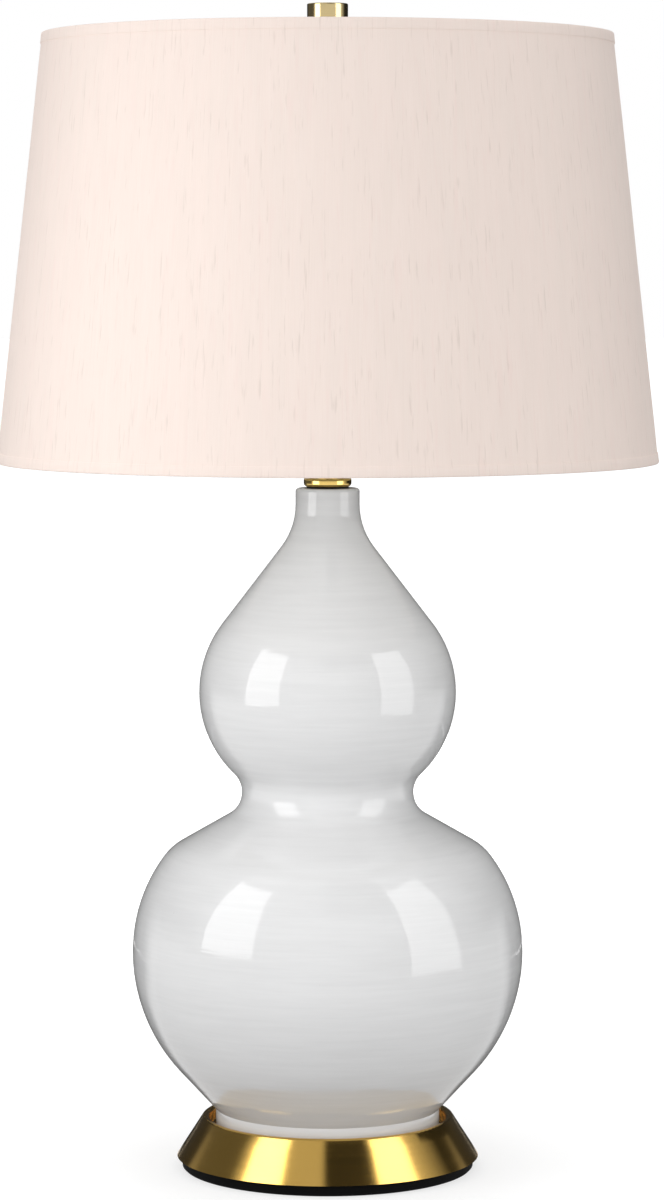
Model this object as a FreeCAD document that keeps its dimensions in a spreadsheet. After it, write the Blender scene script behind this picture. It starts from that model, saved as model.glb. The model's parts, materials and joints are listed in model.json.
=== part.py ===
import FreeCAD, Part
import math
import os

import Sketcher

# Double gourd table lamp. Millimetres, +Z up, origin at the middle of the face it stands on.
# The lamp is a stack on one threaded pipe: foot pad, base weight, spun brass base, ceramic
# gourd, vase cap, harp saddle and socket. The harp carries the shade, the finial holds it down.

SIZES = {
    # foot pad
    "pad_inset": 3.3,
    "pad_bore_radius": 22.0,
    "pad_height": 7.0,
    "pad_chamfer": 1.0,
    # spun brass base
    "base_flare": 16.2,
    "base_height": 25.2,
    "base_sheet": 1.2,
    "base_lip_width": 4.0,
    "base_lip_round": 2.2,
    "well_gap": 3.9,
    "well_depth": 8.2,
    "well_round": 1.5,
    # cast base weight
    "weight_side_gap": 14.6,
    "weight_top_gap": 1.9,
    "weight_round": 1.5,
    "weight_recess_gap": 3.0,
    "weight_recess_depth": 7.0,
    "channel_width": 8.0,
    "channel_depth": 5.0,
    # cord inlet in the back of the base
    "inlet_height": 10.0,
    "inlet_radius": 5.0,
    "bushing_bore_radius": 3.4,
    "bushing_flange_radius": 7.0,
    "bushing_flange_thickness": 1.6,
    "bushing_round": 0.6,
    "bushing_clearance": 0.05,
    "bushing_seat_gap": 0.3,
    # threaded pipe and what clamps the stack to it
    "pipe_radius": 4.85,
    "pipe_bore_radius": 3.3,
    "pipe_bottom_height": 3.5,
    "pipe_clearance": 0.25,
    "base_washer_radius": 14.0,
    "base_washer_thickness": 1.6,
    "lock_washer_radius": 9.0,
    "lock_washer_thickness": 1.4,
    "base_nut_flats": 17.0,
    "base_nut_height": 5.0,
    # ceramic gourd, heights above its foot
    "foot_gasket_thickness": 1.0,
    "foot_gasket_width": 8.0,
    "foot_radius": 69.5,
    "foot_edge_height": 12.0,
    "foot_recess_depth": 3.0,
    "gourd_wall": 6.5,
    "gourd_floor": 7.0,
    "floor_hole_radius": 7.0,
    "belly_radius": 120.8,
    "belly_height": 110.0,
    "flank_slope": 47.5,
    "shoulder_curve": 32.0,
    "shoulder_slope": 30.0,
    "shoulder_length": 35.2,
    "waist_radius": 53.0,
    "waist_curve": 16.5,
    "bulge_radius": 79.2,
    "bulge_rise": 161.0,
    "bulge_curve": 70.0,
    "neck_rise": 116.0,
    "neck_curve": 43.0,
    "neck_radius": 19.7,
    "neck_length": 10.0,
    "neck_edge_round": 2.0,
    "neck_bore_radius": 9.5,
    "neck_bore_depth": 8.0,
    # vase cap and neck
    "neck_gasket_radius": 13.0,
    "neck_gasket_thickness": 0.8,
    "cap_radius": 14.7,
    "cap_height": 6.3,
    "cap_round": 2.4,
    "spacer_radius": 7.0,
    "spacer_height": 14.5,
    # harp saddle
    "saddle_strip": 1.6,
    "saddle_width": 13.0,
    "saddle_half_span": 28.5,
    "saddle_bend": 3.0,
    "saddle_ear_height": 15.0,
    "saddle_tongue_width": 5.0,
    "check_ring_radius": 11.0,
    "check_ring_thickness": 1.5,
    "saddle_nut_flats": 15.0,
    "saddle_nut_height": 3.5,
    # lamp socket, heights above the foot of its cap
    "socket_boss_radius": 7.5,
    "socket_boss_height": 8.0,
    "socket_cap_shoulder": 13.5,
    "socket_cap_height": 21.0,
    "socket_cap_round": 2.4,
    "socket_sheet": 0.8,
    "set_screw_radius": 2.0,
    "set_screw_length": 6.0,
    "set_screw_height": 3.6,
    "screw_clearance": 0.1,
    "shell_clearance": 0.2,
    "shell_bottom_height": 15.0,
    "shell_height": 43.0,
    "shell_sheet": 0.5,
    "sleeve_thickness": 0.9,
    "sleeve_gap": 0.4,
    "interior_height": 15.0,
    "screw_shell_height": 24.0,
    "screw_shell_round": 1.0,
    "contact_radius": 4.5,
    "contact_thickness": 1.2,
    "contact_round": 0.6,
    "contact_gap": 0.4,
    "terminal_radius": 2.6,
    "terminal_head": 1.6,
    "terminal_gap": 0.6,
    "terminal_round": 0.4,
    "terminal_height": 6.5,
    # turn switch
    "switch_height": 23.5,
    "switch_shaft_radius": 2.4,
    "switch_shaft_depth": 9.0,
    "switch_running_gap": 0.08,
    "switch_hole_gap": 0.8,
    "knob_radius": 5.2,
    "knob_length": 14.0,
    "knob_standoff": 12.0,
    "knob_socket_depth": 6.0,
    "knob_flutes": 12,
    "knob_flute_radius": 0.8,
    # light bulb, heights above its contact
    "bulb_contact_radius": 4.0,
    "bulb_contact_height": 1.6,
    "bulb_contact_round": 0.8,
    "bulb_insulator_height": 4.0,
    "bulb_cap_radius": 13.1,
    "bulb_thread_gap": 0.8,
    "bulb_cap_height": 21.0,
    "bulb_cap_round": 1.6,
    "bulb_cap_sheet": 0.4,
    "bulb_neck_gap": 0.3,
    "bulb_neck_depth": 10.5,
    "bulb_radius": 30.0,
    "bulb_neck_curve": 34.0,
    "bulb_height": 108.0,
    "bulb_glass_wall": 0.9,
    "bulb_seat_gap": 0.3,
    # harp
    "harp_wire_radius": 1.9,
    "harp_leg_height": 28.0,
    "harp_height": 234.8,
    "harp_half_width": 57.0,
    "harp_flare_curve": 30.0,
    "harp_crown_curve": 24.0,
    "harp_crown_flat": 4.2,
    "harp_seat_gap": 0.1,
    "harp_side_gap": 0.15,
    "harp_eye_radius": 7.5,
    "harp_eye_thickness": 4.4,
    "ferrule_length": 14.0,
    "ferrule_wall": 1.0,
    "ferrule_round": 0.5,
    "ferrule_gap": 0.3,
    # swivel stud on the harp
    "stud_shank_radius": 2.05,
    "stud_running_gap": 0.1,
    "stud_rivet_radius": 3.6,
    "stud_rivet_height": 1.4,
    "stud_rivet_gap": 0.15,
    "stud_round": 0.45,
    "stud_flange_radius": 7.0,
    "stud_flange_thickness": 1.5,
    "stud_post_radius": 3.15,
    "stud_post_height": 14.0,
    "stud_end_gap": 0.3,
    # shade and its spider
    "shade_top_radius": 173.7,
    "shade_bottom_radius": 202.6,
    "shade_height": 260.0,
    "shade_recess": 13.4,
    "fabric_thickness": 0.7,
    "lining_thickness": 0.5,
    "hem_width": 6.0,
    "hem_thickness": 0.5,
    "hem_round": 0.4,
    "hem_notch_gap": 0.3,
    "ring_wire_radius": 1.6,
    "ring_gap": 0.1,
    "hub_radius": 14.0,
    "hub_thickness": 1.6,
    "hub_post_gap": 0.3,
    "spider_arms": 3,
    "spider_wire_radius": 1.7,
    "spider_collar_gap": 1.0,
    "spider_flat_length": 24.0,
    "spider_bend": 40.0,
    "weld_gap": 0.1,
    # finial
    "finial_collar_radius": 6.5,
    "finial_collar_height": 9.6,
    "finial_head_radius": 12.5,
    "finial_head_height": 21.0,
    "finial_edge": 0.8,
    "finial_bore_spare": 2.6,
}

doc = FreeCAD.newDocument("double_gourd_lamp")
sheet = doc.addObject("Spreadsheet::Sheet", "sizes")


class Size:
    """A length that knows its number and the expression that gives it from the sheet."""

    def __init__(self, number, text):
        self.number = number
        self.text = text

    def __add__(self, other):
        other = as_size(other)
        return Size(self.number + other.number, f"({self.text} + {other.text})")

    def __sub__(self, other):
        other = as_size(other)
        return Size(self.number - other.number, f"({self.text} - {other.text})")

    def __mul__(self, other):
        other = as_size(other)
        return Size(self.number * other.number, f"({self.text} * {other.text})")

    def __truediv__(self, other):
        other = as_size(other)
        return Size(self.number / other.number, f"({self.text} / {other.text})")

    def __neg__(self):
        return Size(-self.number, f"(0 - {self.text})")

    def root(self):
        return Size(math.sqrt(self.number), f"sqrt({self.text})")


def as_size(value):
    return value if isinstance(value, Size) else Size(float(value), str(float(value)))


def fill_sheet():
    """Write each driving size to its own named cell and return them all by name."""
    for row, (name, number) in enumerate(SIZES.items(), start=1):
        sheet.set(f"A{row}", name)
        sheet.set(f"B{row}", str(number))
        sheet.setAlias(f"B{row}", name)
    doc.recompute()
    return {name: Size(float(number), f"sizes.{name}") for name, number in SIZES.items()}


S = fill_sheet()


# ---------------------------------------------------------------- sketch helpers

# How a sketch numbers the points of an edge, its own axes and its origin.
START, END, CENTRE = range(1, 4)
Y_AXIS, X_AXIS = range(-2, 0)
ORIGIN = (X_AXIS, START)

# Two lengths nearer than this are the same, when an edge is looked up by its size.
SAME_PLACE = 1e-4

# A cut through one wall is this many wall thicknesses long, half on each side of the wall.
THROUGH_WALL = 4


def vector(point):
    return FreeCAD.Vector(point[0], point[1], 0)


def new_body(name):
    body = doc.addObject("PartDesign::Body", name)
    body.Label = name
    return body


def new_sketch(body, role, offset=None):
    """Sketch on one of the body's own origin planes, moved along its normal by offset."""
    sketch = body.newObject("Sketcher::SketchObject", body.Name + "_sketch")
    plane = next(item for item in body.Origin.OriginFeatures if item.Role == role)
    sketch.AttachmentSupport = [(plane, "")]
    sketch.MapMode = "FlatFace"
    if offset is not None:
        sketch.setExpression("AttachmentOffset.Base.z", offset.text)
    doc.recompute()
    return sketch


def constrain(sketch, kind, *arguments, size=None):
    """Add a constraint. One that carries a size is bound to the sheet."""
    if size is None:
        return sketch.addConstraint(Sketcher.Constraint(kind, *arguments))
    index = sketch.addConstraint(Sketcher.Constraint(kind, *arguments, size.number))
    sketch.setExpression(f"Constraints[{index}]", size.text)
    return index


def pin(sketch, edge, end, point):
    """Fix a point at (x, y): each a size, 0 for a place on the axis, or None if left free."""
    for kind, axis, size in (("DistanceX", Y_AXIS, point[0]), ("DistanceY", X_AXIS, point[1])):
        if size is None:
            continue
        if isinstance(size, Size):
            constrain(sketch, kind, *ORIGIN, edge, end, size=size)
        else:
            constrain(sketch, "PointOnObject", edge, end, axis)


def add_line(sketch, start, end):
    return sketch.addGeometry(Part.LineSegment(vector(start), vector(end)), False)


def add_apex(sketch, place):
    """Construction point, such as the corner that two rounded sides would meet in."""
    return sketch.addGeometry(Part.Point(vector(place)), True)


def add_arc(sketch, centre, radius, start, end):
    """Arc that runs counterclockwise from the point start to the point end."""
    first = math.atan2(start[1] - centre[1], start[0] - centre[0])
    last = math.atan2(end[1] - centre[1], end[0] - centre[0])
    if last <= first:
        last += 2 * math.pi
    circle = Part.Circle(vector(centre), FreeCAD.Vector(0, 0, 1), radius)
    return sketch.addGeometry(Part.ArcOfCircle(circle, first, last), False)


def add_circle(sketch, centre, radius):
    """Circle at (x, y), each a size or 0."""
    place = [as_size(value).number for value in centre]
    circle = Part.Circle(vector(place), FreeCAD.Vector(0, 0, 1), radius.number)
    edge = sketch.addGeometry(circle, False)
    constrain(sketch, "Radius", edge, size=radius)
    pin(sketch, edge, CENTRE, centre)
    return edge


def unit(start, end):
    """Direction from one point to another, of length 1."""
    length = math.hypot(end[0] - start[0], end[1] - start[1])
    return ((end[0] - start[0]) / length, (end[1] - start[1]) / length)


def along(point, direction, distance):
    """The point at a distance from another in a direction."""
    return (point[0] + direction[0] * distance, point[1] + direction[1] * distance)


def draw_outline(sketch, corners):
    """Closed outline of straight edges. A corner is (x, y) or (x, y, rounding radius)."""
    places = [(as_size(corner[0]).number, as_size(corner[1]).number) for corner in corners]
    entries = []
    exits = []
    centres = []
    for index, corner in enumerate(corners):
        here = places[index]
        back = unit(here, places[index - 1])
        ahead = unit(here, places[(index + 1) % len(corners)])
        if len(corner) == 2:
            entries.append(here)
            exits.append(here)
            centres.append(None)
            continue
        half = math.acos(back[0] * ahead[0] + back[1] * ahead[1]) / 2
        radius = corner[2].number
        entries.append(along(here, back, radius / math.tan(half)))
        exits.append(along(here, ahead, radius / math.tan(half)))
        bisector = unit((0, 0), (back[0] + ahead[0], back[1] + ahead[1]))
        centres.append(along(here, bisector, radius / math.sin(half)))
    lines = []
    for index in range(len(corners)):
        lines.append(add_line(sketch, exits[index], entries[(index + 1) % len(corners)]))
    for index, corner in enumerate(corners):
        before = lines[index - 1]
        after = lines[index]
        if centres[index] is None:
            constrain(sketch, "Coincident", before, END, after, START)
            pin(sketch, after, START, corner)
            continue
        start = entries[index]
        end = exits[index]
        centre = centres[index]
        turn = ((start[0] - centre[0]) * (end[1] - centre[1])
                - (start[1] - centre[1]) * (end[0] - centre[0]))
        if turn > 0:
            arc = add_arc(sketch, centre, corner[2].number, start, end)
            first, last = START, END
        else:
            arc = add_arc(sketch, centre, corner[2].number, end, start)
            first, last = END, START
        apex = add_apex(sketch, places[index])
        constrain(sketch, "PointOnObject", apex, START, before)
        constrain(sketch, "PointOnObject", apex, START, after)
        constrain(sketch, "Tangent", before, END, arc, first)
        constrain(sketch, "Tangent", arc, last, after, START)
        constrain(sketch, "Radius", arc, size=corner[2])
        pin(sketch, apex, START, corner)


# ---------------------------------------------------------------- feature helpers

def revolve(body, sketch, kind="PartDesign::Revolution"):
    feature = body.newObject(kind, body.Name + "_turned")
    feature.Profile = sketch
    feature.ReferenceAxis = (sketch, ["V_Axis"])
    feature.Angle = 360
    doc.recompute()


def turned(name, corners, height=None):
    """Piece turned about its own Z axis, set at a height above the lamp's foot."""
    body = new_body(name)
    sketch = new_sketch(body, "XZ_Plane")
    draw_outline(sketch, corners)
    revolve(body, sketch)
    if height is not None:
        body.setExpression("Placement.Base.z", height.text)
    return body


def ring_corners(inner, outer, thickness):
    return [(inner, 0), (outer, 0), (outer, thickness), (inner, thickness)]


def cut(body, sketch, depth=None, both=False, backward=False):
    """Pocket through the body, or depth deep. It has to take material away."""
    before = body.Shape.Volume
    pocket = body.newObject("PartDesign::Pocket", body.Name + "_cut")
    pocket.Profile = sketch
    if depth is None:
        pocket.Type = "ThroughAll"
    else:
        pocket.setExpression("Length", depth.text)
    pocket.Midplane = both
    pocket.Reversed = backward
    doc.recompute()
    if body.Shape.Volume >= before:
        raise ValueError(body.Label + ": the cut takes nothing away")
    return pocket


def pad(body, sketch, length, both=False):
    feature = body.newObject("PartDesign::Pad", body.Name + "_pad")
    feature.Profile = sketch
    feature.setExpression("Length", length.text)
    feature.Midplane = both
    doc.recompute()


def repeat_round(body, sketch, feature, count):
    """Copies of a feature, evenly spaced about the normal through the sketch's origin."""
    pattern = body.newObject("PartDesign::PolarPattern", feature.Name + "_pattern")
    pattern.Originals = [feature]
    pattern.Axis = (sketch, ["N_Axis"])
    pattern.Angle = 360
    pattern.setExpression("Occurrences", count.text)
    body.Tip = pattern
    doc.recompute()


def hex_nut(name, flats, thickness, bore, height):
    """Hexagon nut on the pipe: six equal sides about its axis, and a bore."""
    body = new_body(name)
    sketch = new_sketch(body, "XY_Plane")
    corner_radius = flats.number / math.sqrt(3)
    corners = [(corner_radius * math.cos(math.radians(60 * turn)),
                corner_radius * math.sin(math.radians(60 * turn))) for turn in range(6)]
    sides = [add_line(sketch, corners[turn], corners[(turn + 1) % 6]) for turn in range(6)]
    for turn in range(6):
        constrain(sketch, "Coincident", sides[turn], END, sides[(turn + 1) % 6], START)
    rim = sketch.addGeometry(Part.Circle(FreeCAD.Vector(), FreeCAD.Vector(0, 0, 1),
                                         corner_radius), True)
    constrain(sketch, "Coincident", rim, CENTRE, *ORIGIN)
    for side in sides:
        constrain(sketch, "PointOnObject", side, START, rim)
    for side in sides[1:]:
        constrain(sketch, "Equal", sides[0], side)
    constrain(sketch, "PointOnObject", sides[0], START, X_AXIS)
    constrain(sketch, "Radius", rim, size=flats / as_size(3).root())
    add_circle(sketch, (0, 0), bore)
    pad(body, sketch, thickness)
    body.setExpression("Placement.Base.z", height.text)
    return body


# ---------------------------------------------------------------- heights of the stack

PIPE_HOLE = S["pipe_radius"] + S["pipe_clearance"]
BASE_BOTTOM = S["pad_height"]
WELL_FLOOR = BASE_BOTTOM + S["base_height"] - S["well_depth"]
WEIGHT_HEIGHT = S["base_height"] - S["well_depth"] - S["base_sheet"]
BULGE_HEIGHT = S["belly_height"] + S["bulge_rise"]
NECK_FOOT = BULGE_HEIGHT + S["neck_rise"]
GOURD_HEIGHT = NECK_FOOT + S["neck_length"]
GOURD_BOTTOM = WELL_FLOOR + S["foot_gasket_thickness"]
GOURD_TOP = GOURD_BOTTOM + GOURD_HEIGHT
CAP_BOTTOM = GOURD_TOP + S["neck_gasket_thickness"]
SPACER_BOTTOM = CAP_BOTTOM + S["cap_height"]
SADDLE_BOTTOM = SPACER_BOTTOM + S["spacer_height"]
SADDLE_TOP = SADDLE_BOTTOM + S["saddle_strip"]
SADDLE_NUT_BOTTOM = SADDLE_TOP + S["check_ring_thickness"]
SOCKET_BOTTOM = SADDLE_NUT_BOTTOM + S["saddle_nut_height"]
HARP_BOTTOM = SADDLE_BOTTOM + S["saddle_bend"] + S["harp_seat_gap"]
HARP_TOP = HARP_BOTTOM + S["harp_height"]
HUB_BOTTOM = HARP_TOP + S["harp_wire_radius"] + S["stud_end_gap"] + S["stud_flange_thickness"]
FINIAL_BOTTOM = HUB_BOTTOM + S["hub_thickness"]


# ---------------------------------------------------------------- base

# Radii from the gourd's foot outward: the well round it, the lip, the flared side, the pad.
WELL_RADIUS = S["foot_radius"] + S["well_gap"]
BASE_TOP_RADIUS = WELL_RADIUS + S["base_lip_width"]
BASE_RADIUS = BASE_TOP_RADIUS + S["base_flare"]
WEIGHT_RADIUS = BASE_RADIUS - S["weight_side_gap"]


def foot_pad():
    rim = BASE_RADIUS - S["pad_inset"]
    return turned("foot_pad", [
        (S["pad_bore_radius"], 0),
        (rim - S["pad_chamfer"], 0),
        (rim, S["pad_chamfer"]),
        (rim, S["pad_height"]),
        (S["pad_bore_radius"], S["pad_height"]),
    ])


def base_taper():
    """How far the base's side comes in for each millimetre of height."""
    return S["base_flare"] / S["base_height"]


def base_side_offset():
    """The sheet's thickness measured level through the slanting side."""
    return S["base_sheet"] * (base_taper() * base_taper() + 1).root()


def base_shell():
    """Spun sheet: slanting side, rolled lip, and a well that the gourd stands in."""
    top = S["base_height"]
    floor_top = top - S["well_depth"]
    under_lip = top - S["base_sheet"]
    well_back = WELL_RADIUS + S["base_sheet"]
    side_inside = BASE_RADIUS - base_side_offset()
    body = turned("base_shell", [
        (PIPE_HOLE, floor_top),
        (WELL_RADIUS, floor_top, S["well_round"]),
        (WELL_RADIUS, top, S["base_lip_round"]),
        (BASE_TOP_RADIUS, top, S["base_lip_round"]),
        (BASE_RADIUS, 0),
        (side_inside, 0),
        (side_inside - base_taper() * under_lip, under_lip),
        (well_back, under_lip),
        (well_back, floor_top - S["base_sheet"]),
        (PIPE_HOLE, floor_top - S["base_sheet"]),
    ], BASE_BOTTOM)
    inlet_sketch(body)
    return body


def inlet_radius_at_wall():
    """Radius of the base's outer face at the height of the cord inlet."""
    return BASE_RADIUS - base_taper() * S["inlet_height"]


def inlet_tilt():
    """Angle of the side's outward normal above level, as an expression."""
    return f"atan({base_taper().text})"


def inlet_sketch(body):
    """Hole for the cord bushing, square to the slanting side at the back."""
    sketch = new_sketch(body, "XZ_Plane")
    sketch.AttachmentOffset = FreeCAD.Placement(
        FreeCAD.Vector(), FreeCAD.Rotation(FreeCAD.Vector(1, 0, 0), 1))
    sketch.setExpression("AttachmentOffset.Rotation.Angle", inlet_tilt())
    sketch.setExpression("AttachmentOffset.Base.y", S["inlet_height"].text)
    sketch.setExpression("AttachmentOffset.Base.z", (-inlet_radius_at_wall()).text)
    doc.recompute()
    add_circle(sketch, (0, 0), S["inlet_radius"])
    cut(body, sketch, S["base_sheet"] * THROUGH_WALL, both=True)


def base_weight():
    """Cast disc that fills the base under the well, with a recess for the clamping nut."""
    recess = S["base_washer_radius"] + S["weight_recess_gap"]
    body = turned("base_weight", [
        (PIPE_HOLE, S["weight_recess_depth"]),
        (recess, S["weight_recess_depth"]),
        (recess, 0),
        (WEIGHT_RADIUS, 0, S["weight_round"]),
        (WELL_RADIUS - S["weight_top_gap"], WEIGHT_HEIGHT, S["weight_round"]),
        (PIPE_HOLE, WEIGHT_HEIGHT),
    ], BASE_BOTTOM)
    sketch = new_sketch(body, "XY_Plane")
    half = S["channel_width"] / 2
    reach = WEIGHT_RADIUS + S["channel_width"]
    draw_outline(sketch, [(-half, 0), (half, 0), (half, reach), (-half, reach)])
    cut(body, sketch, S["channel_depth"], backward=True)
    return body


def cord_bushing():
    """Moulded bushing that lines the cord inlet, clipped on both sides of the sheet."""
    neck = S["inlet_radius"] - S["bushing_clearance"]
    inner_face = -(S["base_sheet"] + S["bushing_seat_gap"])
    inner_end = inner_face - S["bushing_flange_thickness"]
    body = turned("cord_bushing", [
        (S["bushing_bore_radius"], inner_end),
        (S["bushing_flange_radius"], inner_end),
        (S["bushing_flange_radius"], inner_face),
        (neck, inner_face),
        (neck, 0),
        (S["bushing_flange_radius"], 0),
        (S["bushing_flange_radius"], S["bushing_flange_thickness"], S["bushing_round"]),
        (S["bushing_bore_radius"], S["bushing_flange_thickness"]),
    ])
    body.Placement = FreeCAD.Placement(
        FreeCAD.Vector(), FreeCAD.Rotation(FreeCAD.Vector(-1, 0, 0), 1))
    body.setExpression("Placement.Rotation.Angle", f"90 deg - {inlet_tilt()}")
    body.setExpression("Placement.Base.y", inlet_radius_at_wall().text)
    body.setExpression("Placement.Base.z", (BASE_BOTTOM + S["inlet_height"]).text)
    return body


def base_fasteners():
    """Washer, lock washer and nut that pull the stack together from below."""
    washer_bottom = BASE_BOTTOM + S["weight_recess_depth"] - S["base_washer_thickness"]
    lock_bottom = washer_bottom - S["lock_washer_thickness"]
    nut_bottom = lock_bottom - S["base_nut_height"]
    turned("base_washer", ring_corners(
        PIPE_HOLE, S["base_washer_radius"], S["base_washer_thickness"]), washer_bottom)
    turned("base_lock_washer", ring_corners(
        PIPE_HOLE, S["lock_washer_radius"], S["lock_washer_thickness"]), lock_bottom)
    hex_nut("base_nut", S["base_nut_flats"], S["base_nut_height"], PIPE_HOLE, nut_bottom)


def lamp_pipe():
    length = SOCKET_BOTTOM + S["socket_boss_height"] - S["pipe_bottom_height"]
    return turned("lamp_pipe", ring_corners(
        S["pipe_bore_radius"], S["pipe_radius"], length), S["pipe_bottom_height"])


# ---------------------------------------------------------------- ceramic gourd

def gourd_centres():
    """Numbers for the gourd's arcs: the centres that the tangent curve has to have."""
    belly = (S["belly_radius"].number, S["belly_height"].number)
    bulge = ((S["bulge_radius"] - S["bulge_curve"]).number, BULGE_HEIGHT.number)
    neck = ((S["neck_radius"] + S["neck_curve"]).number, NECK_FOOT.number)
    waist_x = (S["waist_radius"] + S["waist_curve"]).number
    reach = (S["bulge_curve"] + S["waist_curve"]).number
    waist = (waist_x, bulge[1] - math.sqrt(reach ** 2 - (waist_x - bulge[0]) ** 2))

    # the shoulder lies a straight slope below the waist
    slope = math.radians(S["shoulder_slope"].number)
    inward = (-math.sin(slope), -math.cos(slope))
    downhill = (math.cos(slope), -math.sin(slope))
    start = along(waist, inward, (S["waist_curve"] + S["shoulder_curve"]).number)
    shoulder = along(start, downhill, S["shoulder_length"].number)

    # upper belly: level with the belly's widest point, and touching the shoulder
    across = belly[0] - shoulder[0]
    rise = belly[1] - shoulder[1]
    curve = S["shoulder_curve"].number
    high_curve = (across ** 2 + rise ** 2 - curve ** 2) / (2 * (across - curve))

    # lower belly: level with the same point, and touching the flank
    flank = math.radians(S["flank_slope"].number)
    across = belly[0] - S["foot_radius"].number
    rise = belly[1] - S["foot_edge_height"].number
    low_curve = ((rise * math.cos(flank) - across * math.sin(flank))
                 / (1 - math.sin(flank)))
    low = (belly[0] - low_curve, belly[1])
    high = (belly[0] - high_curve, belly[1])
    return low, high, shoulder, waist, bulge, neck


def turned_by(direction, angle):
    cosine, sine = math.cos(angle), math.sin(angle)
    return (direction[0] * cosine - direction[1] * sine,
            direction[0] * sine + direction[1] * cosine)


def gourd_curve(sketch, inset, start_height, end_height):
    """Profile of the double gourd from flank to neck, moved in by inset.

    Lines and arcs run tangent into each other, so the belly's two curves, the height of the
    waist and the cone below the neck all follow. Returns the first and last edge.
    """
    low_c, high_c, shoulder_c, waist_c, bulge_c, neck_c = gourd_centres()
    belly = ((S["belly_radius"] - inset).number, S["belly_height"].number)
    low = belly[0] - low_c[0]
    high = belly[0] - high_c[0]
    shoulder = S["shoulder_curve"] - inset
    waist = S["waist_curve"] + inset
    bulge = S["bulge_curve"] - inset
    neck = S["neck_curve"] + inset
    neck_radius = S["neck_radius"] - inset
    slope = math.radians(S["shoulder_slope"].number)
    outward = (math.sin(slope), math.cos(slope))

    # flank: rises from the foot's edge to the lower belly
    foot_edge = (S["foot_radius"].number, S["foot_edge_height"].number)
    flank_angle = math.radians(S["flank_slope"].number)
    flank = (math.cos(flank_angle), math.sin(flank_angle))
    flank_top = along(low_c, (flank[1], -flank[0]), low)
    flank_bottom = along(flank_top, flank, (start_height.number - flank_top[1]) / flank[1])

    # cone: touches the bulge on one side and the neck's curve on the other
    distance = math.hypot(neck_c[0] - bulge_c[0], neck_c[1] - bulge_c[1])
    across = turned_by(unit(bulge_c, neck_c), -math.acos(
        (S["bulge_curve"] + S["neck_curve"]).number / distance))
    cone_bottom = along(bulge_c, across, bulge.number)
    cone_top = along(neck_c, across, -neck.number)

    upper_belly = along(high_c, unit(high_c, shoulder_c), high)
    slope_bottom = along(shoulder_c, outward, shoulder.number)
    slope_top = along(waist_c, outward, -waist.number)
    waist_top = along(waist_c, unit(waist_c, bulge_c), waist.number)
    throat = (neck_radius.number, neck_c[1])

    flank_line = add_line(sketch, flank_bottom, flank_top)
    low_arc = add_arc(sketch, low_c, low, flank_top, belly)
    high_arc = add_arc(sketch, high_c, high, belly, upper_belly)
    shoulder_arc = add_arc(sketch, shoulder_c, shoulder.number, upper_belly, slope_bottom)
    slope_line = add_line(sketch, slope_bottom, slope_top)
    waist_arc = add_arc(sketch, waist_c, waist.number, waist_top, slope_top)
    bulge_arc = add_arc(sketch, bulge_c, bulge.number, waist_top, cone_bottom)
    cone_line = add_line(sketch, cone_bottom, cone_top)
    neck_arc = add_arc(sketch, neck_c, neck.number, throat, cone_top)
    neck_line = add_line(sketch, throat, (neck_radius.number, end_height.number))

    edges = [flank_line, low_arc, high_arc, shoulder_arc, slope_line, waist_arc, bulge_arc,
             cone_line, neck_arc, neck_line]
    hollow = (waist_arc, neck_arc)  # arcs run counterclockwise, so these two run downhill
    for one, other in zip(edges, edges[1:]):
        constrain(sketch, "Tangent", one, START if one in hollow else END,
                  other, END if other in hollow else START)
    pin(sketch, low_arc, CENTRE, (None, S["belly_height"]))
    pin(sketch, low_arc, END, (S["belly_radius"] - inset, S["belly_height"]))
    pin(sketch, waist_arc, CENTRE, (S["waist_radius"] + S["waist_curve"], None))
    pin(sketch, bulge_arc, CENTRE, (S["bulge_radius"] - S["bulge_curve"], BULGE_HEIGHT))
    pin(sketch, neck_arc, CENTRE, (None, NECK_FOOT))
    constrain(sketch, "Vertical", neck_line)
    pin(sketch, neck_line, END, (neck_radius, end_height))
    pin(sketch, flank_line, START, (None, start_height))
    for arc, radius in ((shoulder_arc, shoulder), (waist_arc, waist), (bulge_arc, bulge),
                        (neck_arc, neck)):
        constrain(sketch, "Radius", arc, size=radius)
    constrain(sketch, "Distance", slope_line, size=S["shoulder_length"])
    for line, angle, text in (
            (slope_line, math.pi - slope, "(180 - sizes.shoulder_slope) * 1 deg"),
            (flank_line, flank_angle, "sizes.flank_slope * 1 deg")):
        index = sketch.addConstraint(Sketcher.Constraint("Angle", line, angle))
        sketch.setExpression(f"Constraints[{index}]", text)
    apex = add_apex(sketch, foot_edge)
    pin(sketch, apex, START, (S["foot_radius"], S["foot_edge_height"]))
    if inset.number == 0:
        constrain(sketch, "PointOnObject", apex, START, flank_line)
    else:
        constrain(sketch, "Distance", apex, START, flank_line, size=inset)
    return flank_line, neck_line


def close_outline(sketch, last, first, places):
    """Join the end of one edge to the start of another by lines through fixed places."""
    previous = last
    here = sketch.getPoint(last, END)
    here = (here.x, here.y)
    for place in places:
        there = (as_size(place[0]).number, as_size(place[1]).number)
        line = add_line(sketch, here, there)
        constrain(sketch, "Coincident", previous, END, line, START)
        pin(sketch, line, END, place)
        previous = line
        here = there
    goal = sketch.getPoint(first, START)
    line = add_line(sketch, here, (goal.x, goal.y))
    constrain(sketch, "Coincident", previous, END, line, START)
    constrain(sketch, "Coincident", line, END, first, START)


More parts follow.
